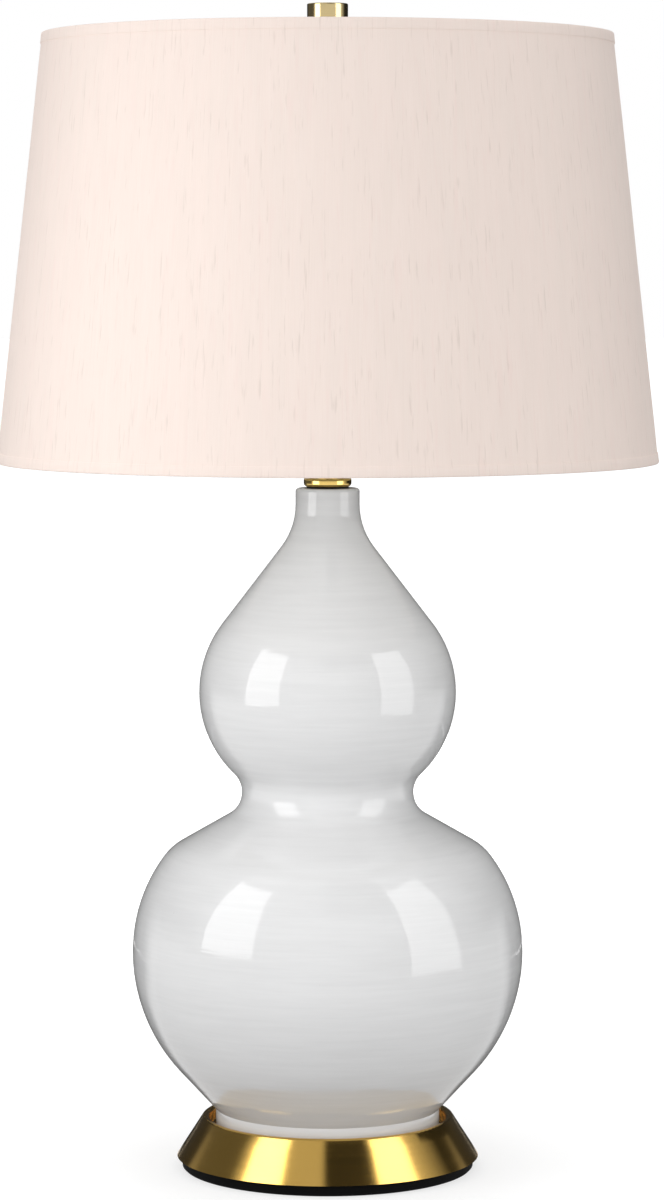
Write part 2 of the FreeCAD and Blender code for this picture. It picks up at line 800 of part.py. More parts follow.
def round_rim(body, radius, height, rounding):
    """Fillet the circular edge of a turned piece that has this radius and local height."""
    tip = body.Tip
    names = []
    for index, edge in enumerate(tip.Shape.Edges, start=1):
        curve = edge.Curve
        if not isinstance(curve, Part.Circle):
            continue
        off = math.hypot(curve.Radius - radius.number, curve.Center.z - height.number)
        if off < SAME_PLACE:
            names.append(f"Edge{index}")
    fillet = body.newObject("PartDesign::Fillet", body.Name + "_rounding")
    fillet.Base = (tip, names)
    fillet.setExpression("Radius", rounding.text)
    doc.recompute()


def gourd_body():
    """Slip-cast double gourd: one wall thickness all over, a floor with a hole, a foot ring."""
    height = GOURD_HEIGHT
    foot_inner = S["foot_radius"] - S["foot_gasket_width"]
    floor_top = S["foot_recess_depth"] + S["gourd_floor"]
    body = new_body("gourd_body")
    outside = new_sketch(body, "XZ_Plane")
    first, last = gourd_curve(outside, as_size(0), S["foot_edge_height"], height)
    close_outline(outside, last, first, [
        (0, height),
        (0, S["foot_recess_depth"]),
        (foot_inner, S["foot_recess_depth"]),
        (foot_inner, 0),
        (S["foot_radius"], 0),
    ])
    revolve(body, outside)
    round_rim(body, S["neck_radius"], height, S["neck_edge_round"])
    inside = new_sketch(body, "XZ_Plane")
    throat = height - S["neck_bore_depth"]
    first, last = gourd_curve(inside, S["gourd_wall"], floor_top, throat)
    close_outline(inside, last, first, [
        (S["neck_bore_radius"], throat),
        (S["neck_bore_radius"], height),
        (0, height),
        (0, 0),
        (S["floor_hole_radius"], 0),
        (S["floor_hole_radius"], floor_top),
    ])
    revolve(body, inside, "PartDesign::Groove")
    body.setExpression("Placement.Base.z", GOURD_BOTTOM.text)
    return body


def foot_gasket():
    return turned("foot_gasket", ring_corners(
        S["foot_radius"] - S["foot_gasket_width"], S["foot_radius"],
        S["foot_gasket_thickness"]), WELL_FLOOR)


# ---------------------------------------------------------------- neck and harp saddle

def neck_stack():
    turned("neck_gasket", ring_corners(
        PIPE_HOLE, S["neck_gasket_radius"], S["neck_gasket_thickness"]), GOURD_TOP)
    turned("vase_cap", [
        (PIPE_HOLE, 0),
        (S["cap_radius"], 0, S["cap_round"]),
        (S["cap_radius"], S["cap_height"], S["cap_round"]),
        (PIPE_HOLE, S["cap_height"]),
    ], CAP_BOTTOM)
    turned("neck_spacer", ring_corners(
        PIPE_HOLE, S["spacer_radius"], S["spacer_height"]), SPACER_BOTTOM)
    turned("check_ring", ring_corners(
        PIPE_HOLE, S["check_ring_radius"], S["check_ring_thickness"]), SADDLE_TOP)
    hex_nut("saddle_nut", S["saddle_nut_flats"], S["saddle_nut_height"], PIPE_HOLE,
            SADDLE_NUT_BOTTOM)


def harp_saddle():
    """Strip bent up at both ends, each end narrowed to a tongue for the harp's ferrule."""
    half = S["saddle_half_span"]
    strip = S["saddle_strip"]
    top = S["saddle_ear_height"]
    inner_bend = S["saddle_bend"] - strip
    body = new_body("harp_saddle")
    side = new_sketch(body, "XZ_Plane")
    draw_outline(side, [
        (-half, 0, S["saddle_bend"]),
        (half, 0, S["saddle_bend"]),
        (half, top),
        (half - strip, top),
        (half - strip, strip, inner_bend),
        (strip - half, strip, inner_bend),
        (strip - half, top),
        (-half, top),
    ])
    pad(body, side, S["saddle_width"], both=True)
    for sign in (1, -1):
        notch = new_sketch(body, "YZ_Plane")
        near = S["saddle_tongue_width"] / 2 * sign
        far = S["saddle_width"] * sign
        above = top + strip
        draw_outline(notch, [(near, strip), (far, strip), (far, above), (near, above)])
        cut(body, notch, both=True)
    hole = new_sketch(body, "XY_Plane")
    add_circle(hole, (0, 0), PIPE_HOLE)
    cut(body, hole, strip * THROUGH_WALL, both=True)
    body.setExpression("Placement.Base.z", SADDLE_BOTTOM.text)
    return body


# ---------------------------------------------------------------- socket and switch

# Radii from the bulb's screw cap outward: screw shell, paper sleeve, shell and socket cap.
SCREW_SHELL_RADIUS = S["bulb_cap_radius"] + S["bulb_thread_gap"] + S["shell_sheet"]
SLEEVE_INSIDE = SCREW_SHELL_RADIUS + S["sleeve_gap"]
SLEEVE_RADIUS = SLEEVE_INSIDE + S["sleeve_thickness"]
SHELL_RADIUS = SLEEVE_RADIUS + S["shell_clearance"] + S["shell_sheet"]
SOCKET_RADIUS = SHELL_RADIUS + S["shell_clearance"] + S["socket_sheet"]
INTERIOR_RADIUS = SLEEVE_INSIDE - S["terminal_gap"] - S["terminal_head"]


def socket_cap():
    """Spun cup whose boss screws on to the pipe."""
    sheet_wall = S["socket_sheet"]
    rim = SOCKET_RADIUS
    body = turned("socket_cap", [
        (PIPE_HOLE, 0),
        (S["socket_boss_radius"], 0),
        (S["socket_boss_radius"], S["socket_boss_height"] - sheet_wall),
        (rim, S["socket_cap_shoulder"], S["socket_cap_round"]),
        (rim, S["socket_cap_height"]),
        (rim - sheet_wall, S["socket_cap_height"]),
        (rim - sheet_wall, S["socket_cap_shoulder"] + sheet_wall,
         S["socket_cap_round"] - sheet_wall),
        (S["socket_boss_radius"], S["socket_boss_height"]),
        (PIPE_HOLE, S["socket_boss_height"]),
    ], SOCKET_BOTTOM)
    hole = new_sketch(body, "YZ_Plane")
    add_circle(hole, (0, S["set_screw_height"]), S["set_screw_radius"] + S["screw_clearance"])
    cut(body, hole, PIPE_HOLE + S["set_screw_length"], backward=True)
    return body


def lay_along(body, axis, angle, x=None, y=None, z=None):
    """Turn a piece about a fixed axis and set its place from the sheet."""
    body.Placement = FreeCAD.Placement(FreeCAD.Vector(), FreeCAD.Rotation(axis, angle))
    for name, size in (("x", x), ("y", y), ("z", z)):
        if size is not None:
            body.setExpression(f"Placement.Base.{name}", size.text)
    return body


def set_screw():
    body = turned("socket_set_screw", [
        (0, 0),
        (S["set_screw_radius"], 0),
        (S["set_screw_radius"], S["set_screw_length"]),
        (0, S["set_screw_length"]),
    ])
    return lay_along(body, FreeCAD.Vector(0, 1, 0), 90, x=PIPE_HOLE,
                     z=SOCKET_BOTTOM + S["set_screw_height"])


def switch_opening(body, gap):
    """Round hole from a socket piece's middle to its front, for the switch shaft."""
    hole = new_sketch(body, "XZ_Plane")
    height = S["switch_height"] - S["shell_bottom_height"]
    add_circle(hole, (0, height), S["switch_shaft_radius"] + gap)
    cut(body, hole, backward=True)


def socket_tube(name, outer, wall, height):
    body = turned(name, ring_corners(outer - wall, outer, height),
                  SOCKET_BOTTOM + S["shell_bottom_height"])
    switch_opening(body, S["switch_hole_gap"])


def socket_pieces():
    """Outer shell, paper sleeve, switch housing, screw shell, contact and terminals."""
    bottom = S["shell_bottom_height"]
    socket_tube("socket_shell", SHELL_RADIUS, S["shell_sheet"], S["shell_height"])
    socket_tube("insulating_sleeve", SLEEVE_RADIUS, S["sleeve_thickness"],
                S["shell_height"] - S["shell_clearance"])
    housing = turned("socket_interior", [
        (0, 0),
        (INTERIOR_RADIUS, 0),
        (INTERIOR_RADIUS, S["interior_height"]),
        (0, S["interior_height"]),
    ], SOCKET_BOTTOM + bottom)
    switch_opening(housing, S["switch_running_gap"])
    screw_shell_bottom = bottom + S["interior_height"]
    wall = S["shell_sheet"]
    contact_hole = S["contact_radius"] + S["contact_gap"]
    turned("screw_shell", [
        (contact_hole, 0),
        (SCREW_SHELL_RADIUS, 0, S["screw_shell_round"]),
        (SCREW_SHELL_RADIUS, S["screw_shell_height"]),
        (SCREW_SHELL_RADIUS - wall, S["screw_shell_height"]),
        (SCREW_SHELL_RADIUS - wall, wall),
        (contact_hole, wall),
    ], SOCKET_BOTTOM + screw_shell_bottom)
    turned("centre_contact", [
        (0, 0),
        (S["contact_radius"], 0),
        (S["contact_radius"], S["contact_thickness"], S["contact_round"]),
        (0, S["contact_thickness"]),
    ], SOCKET_BOTTOM + screw_shell_bottom)
    for name, angle in (("terminal_screw_line", 90), ("terminal_screw_neutral", -90)):
        screw = turned(name, [
            (0, 0),
            (S["terminal_radius"], 0),
            (S["terminal_radius"], S["terminal_head"], S["terminal_round"]),
            (0, S["terminal_head"]),
        ])
        side = INTERIOR_RADIUS if angle > 0 else -INTERIOR_RADIUS
        lay_along(screw, FreeCAD.Vector(0, 1, 0), angle, x=side,
                  z=SOCKET_BOTTOM + bottom + S["terminal_height"])


def switch_pieces():
    """Turn switch: a shaft in the housing's bore and a fluted knob on its outer end."""
    height = SOCKET_BOTTOM + S["switch_height"]
    knob_start = SHELL_RADIUS + S["knob_standoff"]
    shaft_end = knob_start + S["knob_socket_depth"]
    shaft_start = INTERIOR_RADIUS - S["switch_shaft_depth"]
    shaft = turned("switch_shaft", [
        (0, 0),
        (S["switch_shaft_radius"], 0),
        (S["switch_shaft_radius"], shaft_end - shaft_start),
        (0, shaft_end - shaft_start),
    ])
    tip_forward = FreeCAD.Vector(1, 0, 0)
    lay_along(shaft, tip_forward, 90, y=-shaft_start, z=height)
    knob = turned("switch_knob", [
        (S["switch_shaft_radius"], 0),
        (S["knob_radius"], 0, S["knob_flute_radius"]),
        (S["knob_radius"], S["knob_length"], S["knob_flute_radius"]),
        (0, S["knob_length"]),
        (0, S["knob_socket_depth"]),
        (S["switch_shaft_radius"], S["knob_socket_depth"]),
    ])
    flute = new_sketch(knob, "XY_Plane")
    add_circle(flute, (S["knob_radius"], 0), S["knob_flute_radius"])
    groove = cut(knob, flute, S["knob_length"], backward=True)
    repeat_round(knob, flute, groove, S["knob_flutes"])
    lay_along(knob, tip_forward, 90, y=-knob_start, z=height)


# ---------------------------------------------------------------- light bulb

BULB_BOTTOM = (SOCKET_BOTTOM + S["shell_bottom_height"] + S["interior_height"]
               + S["contact_thickness"] + S["bulb_seat_gap"])


def bulb_pieces():
    """Contact, black insulator, screw cap and glass envelope of a pear-shaped bulb."""
    contact = S["bulb_contact_height"]
    insulator_top = contact + S["bulb_insulator_height"]
    cap_top = insulator_top + S["bulb_cap_height"]
    turned("bulb_contact", [
        (0, 0),
        (S["bulb_contact_radius"], 0, S["bulb_contact_round"]),
        (S["bulb_contact_radius"], contact),
        (0, contact),
    ], BULB_BOTTOM)
    turned("bulb_insulator", [
        (0, 0),
        (S["bulb_contact_radius"], 0),
        (S["bulb_cap_radius"] - S["bulb_cap_round"], S["bulb_insulator_height"]),
        (0, S["bulb_insulator_height"]),
    ], BULB_BOTTOM + contact)
    inner = S["bulb_cap_radius"] - S["bulb_cap_sheet"]
    turned("bulb_screw_cap", [
        (0, 0),
        (S["bulb_cap_radius"], 0, S["bulb_cap_round"]),
        (S["bulb_cap_radius"], S["bulb_cap_height"]),
        (inner, S["bulb_cap_height"]),
        (inner, S["bulb_cap_sheet"]),
        (0, S["bulb_cap_sheet"]),
    ], BULB_BOTTOM + insulator_top)
    bulb_glass(cap_top - S["bulb_neck_depth"])


def bulb_glass(bottom):
    """Envelope: a ball that runs through a hollow curve into a straight neck."""
    body = new_body("bulb_glass")
    height = S["bulb_height"] - bottom
    neck_radius = S["bulb_cap_radius"] - S["bulb_cap_sheet"] - S["bulb_neck_gap"]
    for inset, kind in ((as_size(0), "PartDesign::Revolution"),
                        (S["bulb_glass_wall"], "PartDesign::Groove")):
        ball = S["bulb_radius"] - inset
        hollow = S["bulb_neck_curve"] + inset
        neck = neck_radius - inset
        centre = height - S["bulb_radius"]
        hollow_x = neck_radius + S["bulb_neck_curve"]
        reach = (S["bulb_radius"] + S["bulb_neck_curve"]).number
        drop = math.sqrt(reach ** 2 - hollow_x.number ** 2)
        ball_c = (0, centre.number)
        hollow_c = (hollow_x.number, centre.number - drop)
        meeting = along(hollow_c, unit(hollow_c, ball_c), hollow.number)
        sketch = new_sketch(body, "XZ_Plane")
        neck_line = add_line(sketch, (neck.number, inset.number), (neck.number, hollow_c[1]))
        neck_arc = add_arc(sketch, hollow_c, hollow.number, meeting, (neck.number, hollow_c[1]))
        ball_arc = add_arc(sketch, ball_c, ball.number, meeting,
                           (0, centre.number + ball.number))
        constrain(sketch, "Tangent", neck_line, END, neck_arc, END)
        constrain(sketch, "Tangent", neck_arc, START, ball_arc, START)
        constrain(sketch, "Vertical", neck_line)
        constrain(sketch, "Radius", neck_arc, size=hollow)
        constrain(sketch, "Radius", ball_arc, size=ball)
        pin(sketch, ball_arc, CENTRE, (0, centre))
        constrain(sketch, "PointOnObject", ball_arc, END, Y_AXIS)
        foot = inset if inset.number else 0
        pin(sketch, neck_line, START, (neck, foot))
        close_outline(sketch, ball_arc, neck_line, [(0, foot)])
        revolve(body, sketch, kind)
    body.setExpression("Placement.Base.z", (BULB_BOTTOM + bottom).text)
    return body


# ---------------------------------------------------------------- harp

HARP_LEG_X = (S["saddle_half_span"] - S["saddle_strip"] - S["harp_side_gap"]
              - S["harp_wire_radius"])


def harp_centres():
    """Numbers for the harp's arcs: centres of flare, bow and crown, and the bow's radius.

    The bow is as wide as harp_half_width, and touches the flare's and the crown's arcs. Both
    conditions give its radius from the height of its centre, so the two have to agree.
    """
    width = S["harp_half_width"].number
    flare = S["harp_flare_curve"].number
    crown = S["harp_crown_curve"].number
    flare_c = ((HARP_LEG_X + S["harp_flare_curve"]).number, S["harp_leg_height"].number)
    crown_c = (S["harp_crown_flat"].number, S["harp_height"].number - crown)
    below = width - flare_c[0]
    above = width - crown_c[0]
    per_below = 1 / (2 * (below + flare))
    per_above = 1 / (2 * (above - crown))
    square = per_below - per_above
    linear = -2 * (flare_c[1] * per_below - crown_c[1] * per_above)
    constant = ((below ** 2 - flare ** 2 + flare_c[1] ** 2) * per_below
                - (above ** 2 - crown ** 2 + crown_c[1] ** 2) * per_above)
    root = math.sqrt(linear ** 2 - 4 * square * constant)
    heights = [(-linear + sign * root) / (2 * square) for sign in (1, -1)]
    height = next(one for one in heights if flare_c[1] < one < crown_c[1])
    bow = (below ** 2 - flare ** 2 + (height - flare_c[1]) ** 2) * per_below
    return flare_c, (width - bow, height), crown_c, bow


def harp_wire():
    """Bow of round wire from one saddle ear to the other, with a flat eye at the crown."""
    flare = S["harp_flare_curve"]
    crown = S["harp_crown_curve"]
    flare_c, bow_c, crown_c, bow = harp_centres()
    leg_top = (HARP_LEG_X.number, flare_c[1])
    flare_end = along(flare_c, unit(flare_c, bow_c), flare.number)
    crown_start = along(crown_c, unit(bow_c, crown_c), crown.number)
    crown_end = (crown_c[0], S["harp_height"].number)

    body = new_body("harp_wire")
    path = new_sketch(body, "XZ_Plane")
    leg = add_line(path, (leg_top[0], 0), leg_top)
    flare_arc = add_arc(path, flare_c, flare.number, flare_end, leg_top)
    bow_arc = add_arc(path, bow_c, bow, flare_end, crown_start)
    crown_arc = add_arc(path, crown_c, crown.number, crown_start, crown_end)
    top = add_line(path, crown_end, (0, S["harp_height"].number))
    constrain(path, "Tangent", leg, END, flare_arc, END)
    constrain(path, "Tangent", flare_arc, START, bow_arc, START)
    constrain(path, "Tangent", bow_arc, END, crown_arc, START)
    constrain(path, "Tangent", crown_arc, END, top, START)
    pin(path, leg, START, (HARP_LEG_X, 0))
    constrain(path, "Vertical", leg)
    pin(path, leg, END, (None, S["harp_leg_height"]))
    constrain(path, "Radius", flare_arc, size=flare)
    constrain(path, "Radius", crown_arc, size=crown)
    pin(path, crown_arc, CENTRE, (S["harp_crown_flat"], None))
    widest = add_apex(path, (S["harp_half_width"].number, bow_c[1]))
    pin(path, widest, START, (S["harp_half_width"], None))
    constrain(path, "PointOnObject", widest, START, bow_arc)
    constrain(path, "Horizontal", widest, START, bow_arc, CENTRE)
    constrain(path, "Horizontal", top)
    pin(path, top, END, (0, S["harp_height"]))
    section = new_sketch(body, "XY_Plane")
    add_circle(section, (HARP_LEG_X, 0), S["harp_wire_radius"])
    pipe = body.newObject("PartDesign::AdditivePipe", "harp_bow")
    pipe.Profile = section
    pipe.Spine = (path, [])
    doc.recompute()
    mirror = body.newObject("PartDesign::Mirrored", "harp_other_half")
    mirror.Originals = [pipe]
    mirror.MirrorPlane = (path, ["V_Axis"])
    body.Tip = mirror
    doc.recompute()
    eye_bottom = S["harp_height"] + S["harp_wire_radius"] - S["harp_eye_thickness"]
    eye = new_sketch(body, "XY_Plane", eye_bottom)
    add_circle(eye, (0, 0), S["harp_eye_radius"])
    pad(body, eye, S["harp_eye_thickness"])
    hole = new_sketch(body, "XY_Plane", eye_bottom)
    add_circle(hole, (0, 0), S["stud_shank_radius"] + S["stud_running_gap"])
    cut(body, hole, S["harp_eye_thickness"] * THROUGH_WALL, both=True)
    body.setExpression("Placement.Base.z", HARP_BOTTOM.text)
    return body


def ferrules():
    """Sleeves that slide down over each leg of the harp and the saddle's tongue beside it."""
    outer_face = S["saddle_half_span"]
    inner_face = HARP_LEG_X - S["harp_wire_radius"]
    centre = (outer_face + inner_face) / 2
    half_x = (outer_face - inner_face) / 2
    half_y = S["saddle_tongue_width"] / 2
    bore = (half_x * half_x + half_y * half_y).root() + S["ferrule_gap"]
    for name, x in (("ferrule_right", centre), ("ferrule_left", -centre)):
        sleeve = turned(name, [
            (bore, 0),
            (bore + S["ferrule_wall"], 0),
            (bore + S["ferrule_wall"], S["ferrule_length"], S["ferrule_round"]),
            (bore, S["ferrule_length"]),
        ], HARP_BOTTOM)
        sleeve.setExpression("Placement.Base.x", x.text)


def harp_stud():
    """Swivel stud: riveted under the harp's eye, flanged on top, threaded for the finial."""
    rivet_top = -(S["harp_eye_thickness"] + S["stud_rivet_gap"])
    rivet_bottom = rivet_top - S["stud_rivet_height"]
    flange = S["stud_end_gap"]
    flange_top = flange + S["stud_flange_thickness"]
    post_top = flange_top + S["stud_post_height"]
    return turned("harp_stud", [
        (0, rivet_bottom),
        (S["stud_rivet_radius"], rivet_bottom, S["stud_round"]),
        (S["stud_rivet_radius"], rivet_top),
        (S["stud_shank_radius"], rivet_top),
        (S["stud_shank_radius"], flange),
        (S["stud_flange_radius"], flange),
        (S["stud_flange_radius"], flange_top),
        (S["stud_post_radius"], flange_top),
        (S["stud_post_radius"], post_top, S["stud_round"]),
        (0, post_top),
    ], HARP_TOP + S["harp_wire_radius"])


# ---------------------------------------------------------------- shade

def shade_radius(depth, offset):
    """Radius of the shade's cone at a depth below its top rim, moved out by offset."""
    spread = (S["shade_bottom_radius"] - S["shade_top_radius"]) / S["shade_height"]
    return S["shade_top_radius"] + spread * depth + offset


SHADE_TOP = HUB_BOTTOM + S["shade_recess"]
SHADE_BOTTOM = SHADE_TOP - S["shade_height"]
FIRST_ARM_ANGLE = 90
LAMINATE = S["fabric_thickness"] + S["lining_thickness"]
RING_DEPTH = S["ring_wire_radius"] + S["ring_gap"]


def shade_skin(name, outer, thickness):
    """Conical sheet between the shade's two rims, at an offset from the fabric's face."""
    full = S["shade_height"]
    zero = as_size(0)
    return turned(name, [
        (shade_radius(full, outer - thickness), 0),
        (shade_radius(full, outer), 0),
        (shade_radius(zero, outer), full),
        (shade_radius(zero, outer - thickness), full),
    ], SHADE_BOTTOM)


def ring_radius(depth):
    inside = LAMINATE + S["ring_gap"] * 2 + S["ring_wire_radius"]
    return shade_radius(depth, -inside)


def wire_ring(name, depth):
    """Ring of round wire that the laminate is rolled round."""
    body = new_body(name)
    section = new_sketch(body, "XZ_Plane")
    add_circle(section, (ring_radius(depth), 0), S["ring_wire_radius"])
    revolve(body, section)
    body.setExpression("Placement.Base.z", (SHADE_TOP - depth).text)
    return body


def shade_hem(name, rim, inward):
    """Folded trim: outside band, turn over the rim and the ring, and inside band.

    rim is the depth of the shade's edge and inward the direction into the shade, 1 for the
    top hem and -1 for the bottom one.
    """
    trim = S["hem_thickness"]
    edge = as_size(0)
    reach = S["hem_width"] * inward
    over = trim * inward
    inner = -(LAMINATE + S["ring_gap"] * 3 + S["ring_wire_radius"] * 2)
    corners = [
        (shade_radius(rim + reach, S["ring_gap"]), edge - reach),
        (shade_radius(rim + reach, S["ring_gap"] + trim), edge - reach),
        (shade_radius(rim, S["ring_gap"] + trim), over, S["hem_round"]),
        (shade_radius(rim, inner - trim), over, S["hem_round"]),
        (shade_radius(rim + reach, inner - trim), edge - reach),
        (shade_radius(rim + reach, inner), edge - reach),
        (shade_radius(rim, inner), 0),
        (shade_radius(rim, S["ring_gap"]), 0),
    ]
    if inward > 0:
        corners.reverse()
    return turned(name, corners, SHADE_TOP - rim)


def spider_hub():
    return turned("spider_hub", ring_corners(
        S["stud_post_radius"] + S["hub_post_gap"], S["hub_radius"], S["hub_thickness"]),
        HUB_BOTTOM)


def spider_arm(name, angle):
    """Round rod from the hub, level at first, then up to the shade's top ring."""
    level = S["hub_thickness"] + S["weld_gap"] + S["spider_wire_radius"]
    end_x = ring_radius(RING_DEPTH) - S["ring_wire_radius"] - S["weld_gap"]
    end_y = S["shade_recess"] - RING_DEPTH
    start_x = S["finial_collar_radius"] + S["spider_collar_gap"]
    start = (start_x.number, level.number)
    knee = (S["spider_flat_length"].number, level.number)
    end = (end_x.number, end_y.number)
    rise = unit(knee, end)
    half = math.atan2(rise[1], rise[0]) / 2
    reach = S["spider_bend"].number * math.tan(half)
    first = along(knee, (-1, 0), reach)
    last = along(knee, rise, reach)
    centre = (first[0], first[1] + S["spider_bend"].number)
    body = new_body(name)
    path = new_sketch(body, "XZ_Plane")
    flat = add_line(path, start, first)
    bend = add_arc(path, centre, S["spider_bend"].number, first, last)
    slope = add_line(path, last, end)
    constrain(path, "Tangent", flat, END, bend, START)
    constrain(path, "Tangent", bend, END, slope, START)
    constrain(path, "Radius", bend, size=S["spider_bend"])
    constrain(path, "Horizontal", flat)
    pin(path, flat, START, (start_x, level))
    pin(path, slope, END, (end_x, end_y))
    apex = add_apex(path, knee)
    constrain(path, "PointOnObject", apex, START, flat)
    constrain(path, "PointOnObject", apex, START, slope)
    constrain(path, "DistanceX", *ORIGIN, apex, START, size=S["spider_flat_length"])
    section = new_sketch(body, "YZ_Plane", start_x)
    add_circle(section, (0, level), S["spider_wire_radius"])
    rod = body.newObject("PartDesign::AdditivePipe", name + "_rod")
    rod.Profile = section
    rod.Spine = (path, [])
    doc.recompute()
    return lay_along(body, FreeCAD.Vector(0, 0, 1), angle, z=HUB_BOTTOM)


def notch_hem(body):
    """Slots in the top hem's inside band, where the spider's arms pass to the ring."""
    band = ring_radius(as_size(0)) - S["ring_wire_radius"] - S["ring_gap"]
    near = band - S["hem_thickness"] - S["hem_notch_gap"]
    far = band + S["ring_wire_radius"]
    half = S["spider_wire_radius"] + S["hem_notch_gap"]
    notch = new_sketch(body, "XY_Plane")
    draw_outline(notch, [(near, -half), (far, -half), (far, half), (near, half)])
    slot = cut(body, notch)
    repeat_round(body, notch, slot, S["spider_arms"])
    body.setExpression("Placement.Rotation.Angle", f"{FIRST_ARM_ANGLE} deg")


def shade():
    shade_skin("shade_fabric", as_size(0), S["fabric_thickness"])
    shade_skin("shade_lining", -S["fabric_thickness"], S["lining_thickness"])
    wire_ring("shade_top_ring", RING_DEPTH)
    wire_ring("shade_bottom_ring", S["shade_height"] - RING_DEPTH)
    notch_hem(shade_hem("shade_top_hem", as_size(0), 1))
    shade_hem("shade_bottom_hem", S["shade_height"], -1)
    spider_hub()
    for index in range(SIZES["spider_arms"]):
        spider_arm(f"spider_arm_{index + 1}",
                   FIRST_ARM_ANGLE + 360 * index / SIZES["spider_arms"])


# ---------------------------------------------------------------- finial

def finial():
    """Plain cylinder head on a narrower collar, tapped for the stud."""
    top = S["finial_collar_height"] + S["finial_head_height"]
    bore = S["stud_post_radius"] + S["stud_running_gap"]
    bore_depth = S["stud_post_height"] - S["hub_thickness"] + S["finial_bore_spare"]
    head = S["finial_head_radius"]
    return turned("finial", [
        (bore, 0),
        (S["finial_collar_radius"], 0),
        (S["finial_collar_radius"], S["finial_collar_height"]),
        (head, S["finial_collar_height"], S["finial_edge"]),
        (head, top, S["finial_edge"]),
        (0, top),
        (0, bore_depth),
        (bore, bore_depth),
    ], FINIAL_BOTTOM)


# ---------------------------------------------------------------- build and write

def build_lamp():
    foot_pad()
    base_shell()
    base_weight()
    cord_bushing()
    base_fasteners()
    lamp_pipe()
    foot_gasket()
    gourd_body()
    neck_stack()
    harp_saddle()
    socket_cap()
    set_screw()
    socket_pieces()
    switch_pieces()
    bulb_pieces()
    harp_wire()
    ferrules()
    harp_stud()
    shade()
    finial()


def check_and_write():
    """Every object has to be sound before any piece is written."""
    doc.recompute()
    faults = [f"{item.Name} {item.State}" for item in doc.Objects
              if "Invalid" in item.State or "Error" in item.State]
    pieces = [item for item in doc.Objects if item.TypeId == "PartDesign::Body"]
    for piece in pieces:
        if piece.Shape.isNull() or not piece.Shape.isValid() or not piece.Shape.Solids:
            faults.append(piece.Label + " has no sound solid")
    if faults:
        raise ValueError(", ".join(faults))
    os.makedirs("parts", exist_ok=True)
    for piece in pieces:
        piece.Shape.exportStep(f"parts/{piece.Label}.step")
        print(piece.Label, round(piece.Shape.Volume), piece.Shape.BoundBox)


build_lamp()
check_and_write()
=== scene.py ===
"""Looks of the double gourd table lamp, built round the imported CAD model. Lengths are in metres."""

import json
import math

import bmesh
import bpy
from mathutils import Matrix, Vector, noise


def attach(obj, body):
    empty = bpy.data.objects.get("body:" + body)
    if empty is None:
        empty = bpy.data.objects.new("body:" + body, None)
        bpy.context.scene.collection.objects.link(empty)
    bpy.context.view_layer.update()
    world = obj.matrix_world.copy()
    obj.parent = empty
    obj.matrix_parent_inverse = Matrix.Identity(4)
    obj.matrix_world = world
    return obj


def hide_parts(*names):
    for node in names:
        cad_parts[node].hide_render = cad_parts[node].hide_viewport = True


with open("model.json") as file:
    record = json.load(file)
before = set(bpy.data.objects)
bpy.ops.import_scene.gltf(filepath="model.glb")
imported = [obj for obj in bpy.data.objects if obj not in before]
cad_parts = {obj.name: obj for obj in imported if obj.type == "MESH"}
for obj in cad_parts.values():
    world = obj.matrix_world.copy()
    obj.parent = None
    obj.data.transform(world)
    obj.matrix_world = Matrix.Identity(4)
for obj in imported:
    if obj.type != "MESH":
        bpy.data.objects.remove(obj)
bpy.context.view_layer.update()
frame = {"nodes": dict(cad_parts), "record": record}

# ---------------------------------------------------------------- sizes

MM = 0.001

SHADE_TOP = 698.6 * MM
SHADE_BOTTOM = 438.6 * MM
SHADE_TOP_RADIUS = 173.7 * MM
SHADE_BOTTOM_RADIUS = 202.6 * MM
CLOTH_THICKNESS = 0.35 * MM
CLOTH_WOBBLE = 0.12 * MM
CLOTH_WAVES = 2.2
CLOTH_WAVE_HEIGHT = 120 * MM
CLOTH_STILL_EDGE = 20 * MM
CLOTH_ROWS = 40
CLOTH_STEPS = 720
SEAM_OVERLAP = 9.0 * MM
SEAM_RISE = 0.45 * MM

HEM_WIDTH = 6.0 * MM
HEM_THICKNESS = 0.5 * MM
HEM_GAP = 0.06 * MM
HEM_DEPTH = 4.3 * MM
HEM_INNER_WIDTH = 6.0 * MM
HEM_WOBBLE = 0.06 * MM
HEM_WAVES = 9
HEM_WAVE_HEIGHT = 10 * MM
HEM_STEPS = 480

SMOOTH_ANGLE = 35
NODE_SMOOTH_ANGLE = 32
WELD_DISTANCE = 0.002 * MM

# Noise stays near its middle. These are the ends of what is stretched to the full range.
MIDDLE = (0.3, 0.7)
NARROW_MIDDLE = (0.35, 0.65)
TONE_SIZE = 30 * MM

# ---------------------------------------------------------------- nodes and materials


def add(tree, kind, inputs=None, **settings):
    """New shader node. inputs gives its sockets a number, a colour or another node's output."""
    node = tree.nodes.new(kind)
    for name, value in settings.items():
        setattr(node, name, value)
    for name, value in (inputs or {}).items():
        if isinstance(value, bpy.types.NodeSocket):
            tree.links.new(value, node.inputs[name])
        else:
            node.inputs[name].default_value = value
    return node


def math_node(tree, operation, *values):
    node = add(tree, "ShaderNodeMath", dict(enumerate(values)), operation=operation)
    return node.outputs[0]


def stretch(tree, value, low, high, to_low=0.0, to_high=1.0):
    """Maps low..high to to_low..to_high, held at both ends."""
    node = add(tree, "ShaderNodeMapRange", {
        "Value": value, "From Min": low, "From Max": high, "To Min": to_low, "To Max": to_high})
    return node.outputs[0]


def blend_colours(tree, factor, first, second):
    node = add(tree, "ShaderNodeMix", {0: factor, 6: first, 7: second}, data_type="RGBA")
    return node.outputs[2]


def rgb(red, green, blue):
    return (red, green, blue, 1.0)


